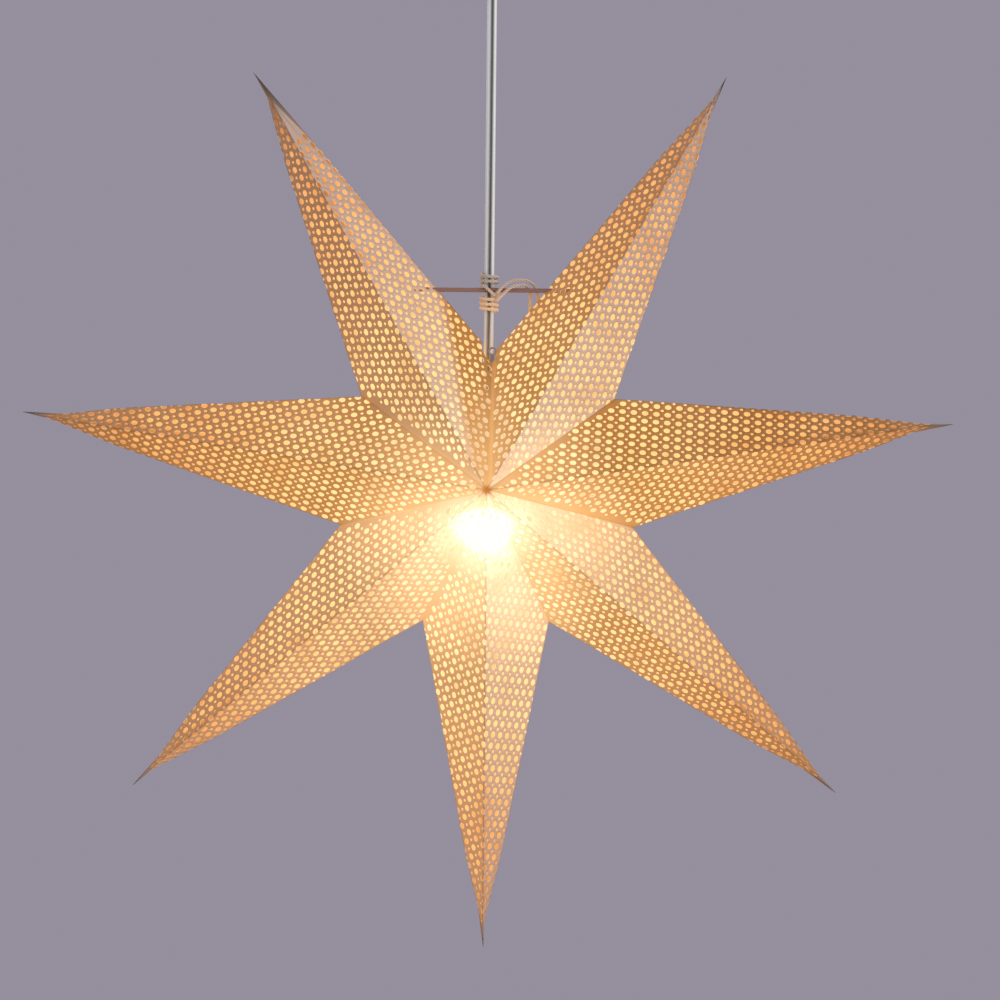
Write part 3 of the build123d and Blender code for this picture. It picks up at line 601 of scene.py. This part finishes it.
def painted_facet_lighting(name, side, layer, near_seam, triangle, centroid):
    """Each triangle's painted lighting: its painted lit share and the strength of the bulb's painted glow.
    """
    near, far = painted_facet_light[name][(side + 1) // 2]
    outward = 1 - from_place(centroid, triangle[1]) / np.linalg.norm(triangle[1] - triangle[0])
    look = np.full((len(centroid), 2), warmths[name][(side + 1) // 2])
    look[:, 0] = near + (far - near) * outward
    if layer == 1:
        return 0.25 + 0.5 * look
    if near_seam:
        # The neighbour shades one facet at the seam; the other one's glued edge is lit from behind
        to_valley, _ = edge_distance(centroid, triangle[0], triangle[2], triangle.mean(0))
        if side < 0:
            shaded = shade_width + shade_slope * from_place(centroid, triangle[0])
            look[:, 0] *= np.clip((to_valley - shaded + shade_fade) / (2 * shade_fade), 0, 1)
        else:
            look[:, 1] += glue_warmth * np.clip((glue_width - to_valley) / glue_fade, 0, 1)
    return look


def pinch_tip(blocks, index, tip):
    """Pinch the last stretch of a point and lean it a little."""
    axis = star_at(1.0, point_angles[index]) - star_at(0.0, point_angles[index])
    sideways, backwards = np.array([-axis[2], 0.0, axis[0]]), np.array([0, 1.0, 0])
    across, backward = tip_leans[point_names[index]]
    for block in blocks:
        along = (tip - block) @ axis
        pinch = np.interp(along, *pinch_profile)
        line = tip - np.outer(along, axis)
        block[:] = line + (block - line) * pinch[:, None]
        lean = np.clip((lean_reach - along) / lean_reach, 0, 1) ** 2
        block += np.outer(lean * across, sideways) + np.outer(lean * backward, backwards)


def side_walls(paper, lining, count):
    """Faces between the sheet's two sides. The outer side's vertices come first, then the inner
    side's and then those on the tissue's outer face, count of each."""
    rim, lining_rim = open_edges(paper), open_edges(lining)
    joined = {tuple(edge) for edge in lining_rim[:, ::-1].tolist()}
    met = {tuple(edge) for edge in rim[:, ::-1].tolist()}
    lined = set(lining.ravel().tolist())
    sides = []
    for a, b in rim.tolist():
        if (a, b) in joined:
            sides.append((b, a, a + 2 * count, b + 2 * count))
        else:
            from_a, to_b = ((k + 2 * count,) * (k in lined) for k in (a, b))
            sides.append((b, a, *from_a, a + count, b + count, *to_b))
    for a, b in lining_rim.tolist():
        if (a, b) not in met:
            sides.append((b + 2 * count, a + 2 * count, a + count, b + count))
    return sides


def paper_mesh(name, vertices, triangles, sides):
    """A mesh of the triangles and, after them, the side walls."""
    side_sizes = [len(corners) for corners in sides]
    every_corner = np.concatenate([triangles.ravel(), np.concatenate(sides)])
    kept_places, loops = np.unique(every_corner, return_inverse=True)
    sizes = np.concatenate([np.full(len(triangles), 3), side_sizes])
    starts = np.concatenate([[0], np.cumsum(sizes)[:-1]])
    mesh = bpy.data.meshes.new(name)
    mesh.vertices.add(len(kept_places))
    mesh.vertices.foreach_set("co", vertices[kept_places].astype(np.float32).ravel())
    mesh.loops.add(len(loops))
    mesh.loops.foreach_set("vertex_index", loops.astype(np.int32))
    mesh.polygons.add(len(starts))
    mesh.polygons.foreach_set("loop_start", starts.astype(np.int32))
    return mesh


def add_attribute(mesh, name, domain, values):
    data = mesh.attributes.new(name, "FLOAT", domain).data
    data.foreach_set("value", values.astype(np.float32))


def inner_side(index, side, layer, triangle, corners3, flat, normal, centre):
    """The flat places of the inner side, drawn back from the folds so that the sheets meet there,
    and each place's distance from the nearest fold."""
    tip, valley = corners3[1], corners3[2]
    other_index = index + 1 if side == -1 else index
    other_valley = star_at(valley_radii[other_index], valley_angles[other_index])
    other_corner = star_at(0, 0, half_depth if layer == 0 else -half_depth)
    moved, fold = flat.copy(), np.full(len(flat), np.inf)
    corner = corners3[0]
    neighbours = ((tip - corner, other_valley - corner), (valley - tip, other_corner - tip))
    for (first, second), neighbour in zip(((0, 1), (1, 2)), neighbours):
        distance, inward = edge_distance(flat, triangle[first], triangle[second], triangle.mean(0))
        fold = np.minimum(fold, distance)
        other_normal = outward_normal(*neighbour, tip, centre)
        half = math.acos(max(-1.0, min(1.0, normal @ other_normal))) / 2
        miter = sheet * math.tan(half)
        moved += np.clip(miter - distance, 0.0, miter)[:, None] * inward
    return moved, fold


def star_facets(index, tip):
    """The four facets of a point, as lists of what each of them adds."""
    name = point_names[index]
    turn = lattice_turn if index == 0 else -lattice_turn
    centre = star_at(valley_radii[1] / 2, point_angles[index])
    front = star_at(0, 0, -half_depth)
    rows, start = [], 0
    for side, valley_index in ((-1, index), (1, index + 1)):
        valley = star_at(valley_radii[valley_index], valley_angles[valley_index])
        near_seam = valley_index in (0, len(point_names))
        tip2, valley2 = flat_triangle(tip, valley, front)
        valley2 = valley2 * np.array([1, side])
        front2 = np.zeros(2)
        for layer, corner2 in ((0, front2), (1, mirrored(front2, tip2, valley2))):
            triangle = np.array([corner2, tip2, valley2])
            corners3 = [star_at(0, 0, half_depth if layer else -half_depth), tip, valley]
            band = bands[name][(side + 1) // 2]
            plain = bare_tip if index == 0 and side == -1 and layer == 0 else tip_margin

            def keep_hole(hole):
                place = np.array([hole[:2]])
                to_valley, _ = edge_distance(place, triangle[0], triangle[2], triangle.mean(0))
                if to_valley[0] < band + (0.6 * hole[2] if band else valley_margin):
                    return False
                if from_place(place, tip2)[0] < plain:
                    return False
                return from_place(place, corner2)[0] > corner_margin + hole[2]

            corner3 = corners3[0]
            normal = outward_normal(tip - corner3, valley - corner3, tip, centre)
            cut_planes, cut_rings = [], []
            if near_seam:
                edge = opening_rear if layer else opening_front
                cut_planes = [(0, -opening_side), (0, opening_side), (1, edge)]
                cut_rings = [rod_outline(triangle, corners3, normal)]
            holes = lattice(triangle, turn)
            flat, lift, triples, centroid, lining, lining_centre = facet(
                triangle, corners3, holes, keep_hole, cut_planes, cut_rings
            )
            if layer == 0:
                lining, lining_centre = lining[:0], lining_centre[:0]
            if near_seam:
                kept = outside_opening(lift(centroid))
                triples, centroid = triples[kept], centroid[kept]
                lining = lining[outside_opening(lift(lining_centre))]
            moved, fold = inner_side(index, side, layer, triangle, corners3, flat, normal, centre)
            places, inner = lift(flat), lift(moved)
            rows.append((
                places, inner - normal * sheet, inner - normal * (sheet - tissue),
                with_winding(triples, places, normal) + start,
                with_winding(lining, places, normal) + start,
                flat, fold, painted_facet_lighting(name, side, layer, near_seam, triangle, centroid),
                from_place(flat, tip2),
            ))
            start += len(flat)
    return zip(*rows)


def star_point(index):
    """One point: four facets of one perforated sheet, unfolded round the front ridge."""
    name = point_names[index]
    tip = star_at(tip_radius, point_angles[index])
    columns = [np.concatenate(column) for column in star_facets(index, tip)]
    outer, inner, floors, paper, lining, uv, fold, look, tip_away = columns
    paper_count = len(paper)
    faces = np.concatenate([paper, lining])
    # The facets share the vertices on their folds
    keys = np.round(outer / weld_step).astype(np.int64)
    _, first_of, group = np.unique(keys, axis=0, return_index=True, return_inverse=True)
    welded = group.ravel()[faces]
    good = np.all(welded != np.roll(welded, 1, axis=1), axis=1)
    look = look[good[:paper_count]]
    paper_count = len(look)
    faces, welded = faces[good], welded[good]
    used, welded_flat = np.unique(welded.ravel(), return_inverse=True)
    welded = welded_flat.reshape(-1, 3)
    blocks = [block[first_of[used]] for block in (outer, inner, floors)]
    pinch_tip(blocks, index, tip)
    count = len(used)
    paper, lining = welded[:paper_count], welded[paper_count:]
    triangles = np.concatenate([paper, welded[:, ::-1] + count, lining + 2 * count])
    sides = side_walls(paper, lining, count)
    mesh = paper_mesh("paper_" + name, np.concatenate(blocks) / 1000, triangles, sides)
    face_count = len(triangles) + len(sides)
    slots = np.ones(face_count, np.int32)
    slots[:paper_count] = 0
    mesh.polygons.foreach_set("material_index", slots)
    mesh.update(calc_edges=True)
    # Attributes for the paper's painted light and shade
    for column, key in enumerate(("painted_lit_share", "warmth")):
        values = np.zeros(face_count)
        values[:paper_count] = look[:, column]
        add_attribute(mesh, key, "FACE", values)
    corners = np.concatenate([
        faces[:paper_count].ravel(), faces[:, ::-1].ravel(), faces[paper_count:].ravel()
    ])
    rest = np.zeros(sum(len(corners_of) for corners_of in sides))
    add_attribute(mesh, "fold", "CORNER", np.concatenate([fold[corners], rest + side_wall_fold]))
    tip_share = np.clip((shaded_tip - tip_away) / shaded_tip_fade, 0, 1)
    add_attribute(mesh, "tip", "CORNER", np.concatenate([tip_share[corners], rest]))
    corner_uv = np.concatenate([uv[corners], np.stack([rest, rest], 1)]) / uv_width + uv_shift
    uv_layer = mesh.uv_layers.new(name="UVMap")
    uv_layer.data.foreach_set("uv", corner_uv.astype(np.float32).ravel())
    mesh.validate()
    mesh.materials.append(outside_paper)
    mesh.materials.append(inside_paper)
    piece = bpy.data.objects.new("paper_" + name, mesh)
    scene.collection.objects.link(piece)
    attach(piece, "star")
    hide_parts("star_point_" + name)


outside_paper, inside_paper = paper_outside(), paper_inside()
for point_index in range(len(point_names)):
    star_point(point_index)


# ---- cords, string and wires
def smooth_line(points, steps):
    """Places in metres along a NURBS spline whose control points are given in millimetres."""
    data = bpy.data.curves.new("route", "CURVE")
    data.dimensions = "3D"
    data.resolution_u = steps
    spline = data.splines.new("NURBS")
    spline.points.add(len(points) - 1)
    for point, place in zip(spline.points, points):
        point.co = (place[0] / 1000, place[1] / 1000, place[2] / 1000, 1.0)
    spline.order_u = 3
    spline.use_endpoint_u = True
    holder = bpy.data.objects.new("route", data)
    scene.collection.objects.link(holder)
    read = bpy.data.meshes.new_from_object(holder)
    line = np.array([tuple(v.co) for v in read.vertices])
    bpy.data.objects.remove(holder)
    bpy.data.curves.remove(data)
    bpy.data.meshes.remove(read)
    return line


def evenly(line, step):
    """The same line with its places about a step apart."""
    runs = np.linalg.norm(np.diff(line, axis=0), axis=1)
    along = np.concatenate([[0], np.cumsum(runs)])
    stops = np.linspace(0, along[-1], max(2, int(round(along[-1] / step)) + 1))
    return np.stack([np.interp(stops, along, line[:, k]) for k in range(3)], 1), stops


def line_frames(line, side):
    """Two directions across the line at each of its places, carried on without twist."""
    heading = np.gradient(line, axis=0)
    heading /= np.linalg.norm(heading, axis=1)[:, None]
    across = np.zeros_like(line)
    last = np.array(side, float)
    for index, forward in enumerate(heading):
        last = last - forward * (last @ forward)
        last /= np.linalg.norm(last)
        across[index] = last
    return across, np.cross(heading, across)


def tube_parts(line, outline, angles, side=(1, 0, 0), offset=None):
    """Vertices and faces of a closed tube whose outline turns by an angle at each place."""
    across, beside = line_frames(line, side)
    outline = np.array(outline)
    count, around = len(line), len(outline)
    turn_x, turn_y = np.cos(angles)[:, None], np.sin(angles)[:, None]
    first = across * turn_x + beside * turn_y
    second = beside * turn_x - across * turn_y
    middle = line if offset is None else line + first * offset
    wide, high = outline[None, :, 0:1], outline[None, :, 1:2]
    rings = middle[:, None, :] + wide * first[:, None, :] + high * second[:, None, :]
    vertices = rings.reshape(-1, 3)
    faces = []
    for row in range(count - 1):
        for k in range(around):
            a, b = row * around + k, row * around + (k + 1) % around
            faces.append((a, b, b + around, a + around))
    faces.append(tuple(range(around))[::-1])
    faces.append(tuple((count - 1) * around + k for k in range(around)))
    return vertices, faces


def mesh_piece(name, parts, body, materials):
    """One piece from several closed parts: (vertices, faces, index of its material)."""
    vertices, faces, slots = [], [], []
    for part_vertices, part_faces, part_slot in parts:
        start = len(vertices)
        vertices += [tuple(v) for v in part_vertices]
        faces += [tuple(i + start for i in face) for face in part_faces]
        slots += [part_slot] * len(part_faces)
    mesh = bpy.data.meshes.new(name)
    mesh.from_pydata(vertices, [], faces)
    mesh.polygons.foreach_set("material_index", slots)
    mesh.polygons.foreach_set("use_smooth", [len(f) == 4 for f in faces])
    for made in materials:
        mesh.materials.append(made)
    mesh.update()
    piece = bpy.data.objects.new(name, mesh)
    scene.collection.objects.link(piece)
    if body:
        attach(piece, body)
    return piece


def circle(radius, sides):
    turn = np.arange(sides) * 2 * math.pi / sides
    return np.stack([radius * np.cos(turn), radius * np.sin(turn)], 1) * 0.001


def cord_outline():
    """Two round cores side by side with a thinner web between them."""
    core, place, web = 1.45, 1.35, 0.75
    start = math.asin(web / core)
    turn = np.linspace(-math.pi + start, math.pi - start, 19)
    right_core = np.stack([place + core * np.cos(turn), core * np.sin(turn)], 1)
    return np.concatenate([right_core, -right_core]) / 1000


def warm_below(tree, shader, top, reach, colour):
    """Light from the star's opening on what hangs above it, stronger further down."""
    height = split(tree, object_coordinates(tree))[2]
    share = math_node(tree, "SUBTRACT", 1.0, smooth(tree, height, top - reach, top))
    emit(tree, shader, mix_colour(tree, share, black, colour))


def jacket_material():
    """Grey cord with painted shade along the groove between its two cores, pale along its edges."""
    made, tree, shader = material("cord_jacket", roughness=0.34)
    grain = noise(tree, 60, 4.0, (1, 1, 0.1))
    groove_shade = mix_colour(tree, grain, (0.085, 0.088, 0.086), (0.13, 0.13, 0.122))
    edge = mix_colour(tree, grain, (0.62, 0.64, 0.62), (0.74, 0.76, 0.73))
    colour = mix_colour(tree, smooth(tree, attribute(tree, "across"), 0.12, 0.62), groove_shade, edge)
    tree.links.new(colour, shader.inputs["Base Color"])
    warm_below(tree, shader, -0.215, 0.05, (0.15, 0.06, 0.015))
    bump(tree, shader, noise(tree, 360, 2.0, (1, 1, 0.1)), 0.12, grain_depth)
    return made


def fibre_material():
    made, tree, shader = material("string_fibre", roughness=0.85)
    strand = noise(tree, 1500, 4.0)
    colour = mix_colour(tree, strand, (0.50, 0.40, 0.33), (0.68, 0.57, 0.47))
    tree.links.new(colour, shader.inputs["Base Color"])
    warm_below(tree, shader, -0.212, 0.020, (0.30, 0.135, 0.02))
    bump(tree, shader, noise(tree, 4000, 2.0), 0.5, grain_depth)
    return made


cord_jacket, string_fibre = jacket_material(), fibre_material()
brown_core = varied(
    "brown_insulation", (0.14, 0.06, 0.03), (0.18, 0.08, 0.04), 300, 0.4, bumps=0.1
)
blue_core = varied(
    "blue_insulation", (0.04, 0.12, 0.35), (0.06, 0.16, 0.42), 300, 0.4, bumps=0.1
)
copper = varied(
    "copper_strands", (0.72, 0.33, 0.18), (0.85, 0.44, 0.26), 2500, 0.35, metallic=1.0, bumps=0.5
)


def mark_across(piece):
    """How far across the cord each vertex lies, 0 at the groove and 1 at the edges."""
    outline = np.abs(cord_outline()[:, 0])
    share = np.resize(outline / outline.max(), len(piece.data.vertices))
    add_attribute(piece.data, "across", "POINT", share)


# The hanging cord: straight from the bush down into the grip nut, a little twisted
cord_step = 0.0015
cord_points = [
    (0, 0, -38.0), (0, 0, -67.7), (0, 0, -128.0), (0, 0, -219.0), (0, 0, -252.0), (0, 0, -287.4),
]
cord_line, _ = evenly(smooth_line(cord_points, 40), cord_step)
# Its twist in degrees, by the depth below the ceiling in millimetres
cord_twist = ([38, 130, 212, 226, 246, 288], [-6, -4, 0, 0, 12, 0])
cord_turns = np.radians(np.interp(-cord_line[:, 2] * 1000, *cord_twist))
hanging_cord = mesh_piece(
    "hanging_cord", [(*tube_parts(cord_line, cord_outline(), cord_turns), 0)],
    None, [cord_jacket],
)
mark_across(hanging_cord)
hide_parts("cord_upper_stretch", "cord_lower_stretch")
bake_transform(hanging_cord, "cord_top", "pendant", start=(0, 0, -0.045), end=(0, 0, -0.213))

cup_points = [(0, 0, -12.55), (0, 0, -20.0), (0, 0, -30.0), (0, 0, -38.0)]
cup_line, _ = evenly(smooth_line(cup_points, 12), cord_step)
cup_turns = np.full(len(cup_line), math.radians(8.0))
cup_cord = mesh_piece(
    "cord_in_cup", [(*tube_parts(cup_line, cord_outline(), cup_turns), 0)],
    "ceiling_fitting", [cord_jacket],
)
mark_across(cup_cord)
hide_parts("cord_inside_cup")


def string_piece(name, route, node_name, steps):
    """A string of three twisted plies along its route, with its line and its length in metres."""
    plies, ply_radius, ply_place, twist_length = 3, 0.475, 0.00052, 0.0055
    line, along = evenly(smooth_line(route, steps), 0.0004)
    turns = along * 2 * math.pi / twist_length
    parts = []
    for ply in range(plies):
        angles = turns + ply * 2 * math.pi / plies
        parts.append((*tube_parts(line, circle(ply_radius, 8), angles, offset=ply_place), 0))
    body = body_of(frame["nodes"][node_name])[0]
    piece = mesh_piece(name, parts, body, [string_fibre])
    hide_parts(node_name)
    return piece, line, float(np.linalg.norm(np.diff(line, axis=0), axis=1).sum())


def wrap_at(angle):
    """A place of the winding: it crosses the rod in front, and coils above and below it."""
    radius, centre_y, crossing_angle, crossing_drop, coil_pitch = 4.8, -1.0, 35.0, 2.7, 2.8
    beyond = max(abs(angle) - crossing_angle, 0.0)
    drop = crossing_drop * min(abs(angle) / crossing_angle, 1.0) + coil_pitch * beyond / 360
    turn = math.radians(angle)
    height = rod_z + (drop if angle < 0 else -drop)
    return radius * math.sin(turn), centre_y - radius * math.cos(turn), height


wrap_first, wrap_last, wrap_step = -900, 1260, 22
wrap_angles = [
    *range(wrap_first, -60, wrap_step), -55, -35, -18, 0, 18, 35, 55,
    *range(78, wrap_last, wrap_step), wrap_last,
]
wrap_route = [wrap_at(angle) for angle in wrap_angles]
wrap_piece, wrap_line, wrap_length = string_piece(
    "string_winding", wrap_route, "tie_string_wrap", 6
)

# The tails' points, with heights from the rod
inner_tail = [
    (4.6, -6.0, -5.6), (8.6, -6.9, -1.4), (12.4, -6.9, 2.0), (17.0, -5.7, 3.2), (20.8, -2.5, 3.2),
    (23.4, 1.6, 0.2), (23.8, 4.6, -5.2), (23.6, 7.2, -10.6), (23.3, 10.6, -17.6),
    (23.2, 15.8, -24.6),
]
outer_tail = [
    (4.6, -6.0, -1.6), (7.9, -7.1, 2.8), (12.1, -7.0, 5.6), (17.6, -5.8, 6.3), (22.8, -2.7, 5.5),
    (26.6, 1.6, 2.0), (28.0, 4.9, -3.4), (28.7, 8.2, -8.9), (29.2, 12.8, -15.2),
    (29.9, 18.9, -21.6),
]
for tail_name, tail in (("string_tail_inner", inner_tail), ("string_tail_outer", outer_tail)):
    route = [(x, y, rod_z + z) for x, y, z in tail]
    tail_piece, tail_line, tail_length = string_piece(tail_name, route, "tie_string_tails", 12)


def wires(name, node_name, radius, routes):
    """Two insulated cores whose last stretch is stripped to its seven copper strands."""
    bare_share, strands, strand_share, place_share, strand_turn = 0.16, 7, 0.2, 0.44, 0.12
    parts = []
    for index, route in enumerate(routes):
        line, _ = evenly(smooth_line(route, 12), 0.0005)
        stripped = max(4, int(len(line) * bare_share))
        covered = line[: len(line) - stripped + 1]
        parts.append((*tube_parts(covered, circle(radius, 16), np.zeros(len(covered))), index))
        bare = line[len(line) - stripped - 2 :]
        for strand in range(strands):
            offset = 0.0 if strand == strands - 1 else radius * place_share / 1000
            angles = np.arange(len(bare)) * strand_turn + strand * math.pi / 3
            outline = circle(radius * strand_share, 6)
            parts.append((*tube_parts(bare, outline, angles, offset=offset), 2))
    body = body_of(frame["nodes"][node_name])[0]
    piece = mesh_piece(name, parts, body, [brown_core, blue_core, copper])
    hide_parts(node_name)


wires("ceiling_leads", "ceiling_wires", 1.0, [
    [(s * 1.35, 0, -12.55), (s * 1.35, 0, -9.95), (s * 2.25, -2.6, -8.15),
     (s * 3.95, -6.0, -8.1), (s * 5.5, -10.5, -7.6), (s * 6.0, -17.5, -7.5)] for s in (-1, 1)
])
wires("holder_leads", "holder_wires", 0.8, [
    [(s * 1.35, 0, -287.4), (s * 1.35, 0, -288.6), (s * 2.75, 0.9, -289.8), (s * 5.3, 1.4, -291.6),
     (s * 8.1, 0.6, -291.7)] for s in (-1, 1)
])


# ---- threaded bulb cap and brass shell
thread_pitch = 2.822
thread_depth, thread_row, thread_fade = 0.28, 0.2, 1.6


def threaded(name, node_name, outer, inner, made):
    """A turned shell with a rolled thread: each row is (height, radius, depth of the thread)."""
    sides = 72
    rows = outer + inner[::-1]
    turn = np.arange(sides) * 2 * math.pi / sides
    vertices, faces = [], []
    for height, radius, depth in rows:
        wave = radius + depth * np.cos(2 * math.pi * height / thread_pitch - turn)
        heights = np.full(sides, star_z + height)
        vertices += list(np.stack([wave * np.cos(turn), wave * np.sin(turn), heights], 1) / 1000)
    for row in range(len(rows)):
        this, following = row * sides, (row + 1) % len(rows) * sides
        for k in range(sides):
            after = (k + 1) % sides
            faces.append((this + k, this + after, following + after, following + k))
    body = body_of(frame["nodes"][node_name])[0]
    piece = mesh_piece(name, [(vertices, faces, 0)], body, [made])
    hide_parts(node_name)


def thread_rows(low, high, radius):
    """Rows of a thread that rises and fades out at its ends."""
    rows = []
    for height in np.arange(low, high, thread_row):
        share = min((height - low) / thread_fade, (high - height) / thread_fade, 1.0)
        rows.append((float(height), radius, thread_depth * share))
    return rows


cap_metal = varied(
    "nickel_cap", (0.62, 0.60, 0.56), (0.74, 0.72, 0.68), 180, 0.28, metallic=1.0, bumps=0.05
)
brass = varied(
    "brass", (0.66, 0.45, 0.16), (0.80, 0.58, 0.24), 150, 0.32, metallic=1.0, bumps=0.08
)
threaded(
    "threaded_cap", "bulb_cap",
    [(7.5, 8.4, 0), (9.1, 8.4, 0), (9.5, 8.2, 0), (11.6, 6.8, 0)]
    + thread_rows(12.0, 25.6, 6.62)
    + [(26.2, 6.5, 0), (27.6, 5.4, 0), (28.7, 4.3, 0)],
    [(7.5, 8.0, 0), (9.1, 8.0, 0), (9.5, 7.8, 0), (11.6, 6.45, 0)]
    + thread_rows(12.0, 25.6, 6.27)
    + [(26.2, 6.15, 0), (27.5, 5.0, 0), (28.6, 3.95, 0)],
    cap_metal,
)
threaded(
    "threaded_shell", "screw_shell",
    [(13.6, 7.6, 0)] + thread_rows(13.9, 30.6, 7.3)
    + [(31.4, 7.6, 0), (32.0, 7.6, 0), (32.0, 5.5, 0)],
    [(13.6, 7.2, 0)] + thread_rows(13.9, 30.6, 6.95)
    + [(31.2, 7.2, 0), (31.6, 7.2, 0), (31.6, 5.5, 0)],
    brass,
)


# ---- materials of the nodes that stay
def glowing(name, base, emission, strength, neck):
    """Lit glass or wire, dimmer and warmer towards the bulb's neck."""
    neck_height = bulb_centre[2] + 0.032
    made, tree, shader = material(name, base, 0.4)
    height = split(tree, object_coordinates(tree))[2]
    uneven = math_node(tree, "MULTIPLY_ADD", noise(tree, 60.0, 2.0), 0.01, height)
    share = smooth(tree, uneven, bulb_centre[2], neck_height)
    emit(tree, shader, mix_colour(tree, share, emission, neck), strength)
    bump(tree, shader, noise(tree, 700.0, 2.0), 0.15, 0.0001)
    return made


def clear(name, base, roughness, ior):
    made, tree, shader = material(name, base, roughness)
    shader.inputs["Transmission Weight"].default_value = 1.0
    shader.inputs["IOR"].default_value = ior
    bump(tree, shader, noise(tree, 250.0, 2.0), 0.1, 0.0001)
    return made


moulded = varied(
    "white_moulding", (0.78, 0.77, 0.74), (0.84, 0.83, 0.80), 40, 0.42, bumps=0.12
)
zinc = varied(
    "zinc_plate", (0.38, 0.39, 0.41), (0.50, 0.51, 0.53), 90, 0.55, metallic=0.8, bumps=0.15
)
bright = varied(
    "bright_screw", (0.62, 0.61, 0.58), (0.74, 0.73, 0.70), 400, 0.3, metallic=1.0, bumps=0.1
)
rubber = varied("pale_rubber", (0.55, 0.54, 0.52), (0.62, 0.61, 0.59), 300, 0.7, bumps=0.25)
rod_metal = varied(
    "rod_wire", (0.26, 0.14, 0.105), (0.40, 0.23, 0.18), 120, 0.42,
    metallic=0.35, bumps=0.15, stretch=(0.1, 1, 1),
)
clip_metal = varied(
    "clip_wire", (0.28, 0.25, 0.26), (0.42, 0.38, 0.40), 500, 0.45, metallic=0.6, bumps=0.2
)
holder_white = varied(
    "holder_plastic", (0.74, 0.72, 0.67), (0.82, 0.80, 0.75), 60, 0.38, bumps=0.1
)
core_buff = varied("core_plastic", (0.62, 0.55, 0.42), (0.72, 0.65, 0.52), 300, 0.55, bumps=0.25)
solder = varied(
    "solder", (0.55, 0.55, 0.56), (0.72, 0.72, 0.74), 500, 0.34, metallic=1.0, bumps=0.3
)
black_glass = varied(
    "black_glass", (0.012, 0.012, 0.014), (0.03, 0.03, 0.034), 300, 0.12, coat=0.5
)
frosted = glowing("frosted_glass", (0.60, 0.54, 0.46), (1.0, 0.80, 0.50), 1.4, (0.42, 0.20, 0.07))
filament = glowing("glowing_wire", (0.5, 0.4, 0.3), (1.0, 0.62, 0.24), 12.0, (1.0, 0.55, 0.20))
clear_block = clear("clear_block", (0.92, 0.94, 0.93), 0.15, 1.49)
stem_glass = clear("stem_glass", (0.95, 0.95, 0.95), 0.05, 1.5)
looks = {
    "hanger_rod": rod_metal, "outlet_bush": rubber, "ceiling_cup": moulded, "ceiling_plate": zinc,
    "cup_screws": bright, "cord_clamp_bar": zinc, "clamp_screws": bright,
    "terminal_block": clear_block, "terminal_screws": brass,
    "holder_skirt": holder_white, "holder_cap": holder_white, "cord_grip_nut": holder_white,
    "insulating_core": core_buff, "centre_contact": brass, "holder_terminal_screws": brass,
    "bulb_glass": frosted, "bulb_stem": stem_glass, "bulb_filament": filament,
    "bulb_insulator": black_glass, "bulb_contact": solder, "seam_clip": clip_metal,
}
for node_name, look in looks.items():
    held = frame["nodes"][node_name]
    if not held.material_slots:
        held.data.materials.append(look)
    for material_slot in held.material_slots:
        material_slot.material = look


# ---- floor, background and light
floor_radius, floor_height, floor_sides = 2.3, -1.3, 96
floor_material = varied(
    "pale_floor", (0.60, 0.595, 0.64), (0.64, 0.635, 0.68), 3, 0.9, bumps=0.05
)
floor_shader = floor_material.node_tree.nodes["Principled BSDF"]
floor_shader.inputs["Specular IOR Level"].default_value = 0.1
turn = np.arange(floor_sides) * 2 * math.pi / floor_sides
edge = [(floor_radius * math.cos(a), floor_radius * math.sin(a), floor_height) for a in turn]
floor_mesh = bpy.data.meshes.new("floor")
floor_mesh.from_pydata(edge, [], [tuple(range(floor_sides))])
floor_mesh.materials.append(floor_material)
floor = bpy.data.objects.new("floor", floor_mesh)
scene.collection.objects.link(floor)

world = bpy.data.worlds.new("studio")
scene.world = world
world.use_nodes = True
tree = world.node_tree
path = tree.nodes.new("ShaderNodeLightPath")
seen = math_node(tree, "MAXIMUM", path.outputs["Is Camera Ray"], path.outputs["Is Glossy Ray"])
seen = math_node(tree, "MAXIMUM", seen, path.outputs["Is Transmission Ray"])
# What lights the object, and what is seen behind it
plain = mix_colour(tree, seen, (0.52, 0.52, 0.56), (0.30, 0.275, 0.34))
tree.links.new(plain, tree.nodes["Background"].inputs[0])
scene.view_settings.view_transform = "Standard"


def area_light(name, place, size, energy, colour):
    data = bpy.data.lights.new(name, "AREA")
    data.size = size
    data.energy = energy
    data.color = colour
    lamp = bpy.data.objects.new(name, data)
    lamp.location = place
    heading = Vector((0, 0, star_z / 1000)) - lamp.location
    lamp.rotation_euler = heading.to_track_quat("-Z", "Y").to_euler()
    scene.collection.objects.link(lamp)


area_light("key", (2.2, -1.6, 0.2), 1.4, 38, (1.0, 0.96, 0.92))
area_light("fill", (-1.8, -1.8, 0.6), 1.6, 9, (0.92, 0.94, 1.0))
area_light("back", (-0.8, 2.2, 0.6), 1.6, 16, (0.95, 0.96, 1.0))
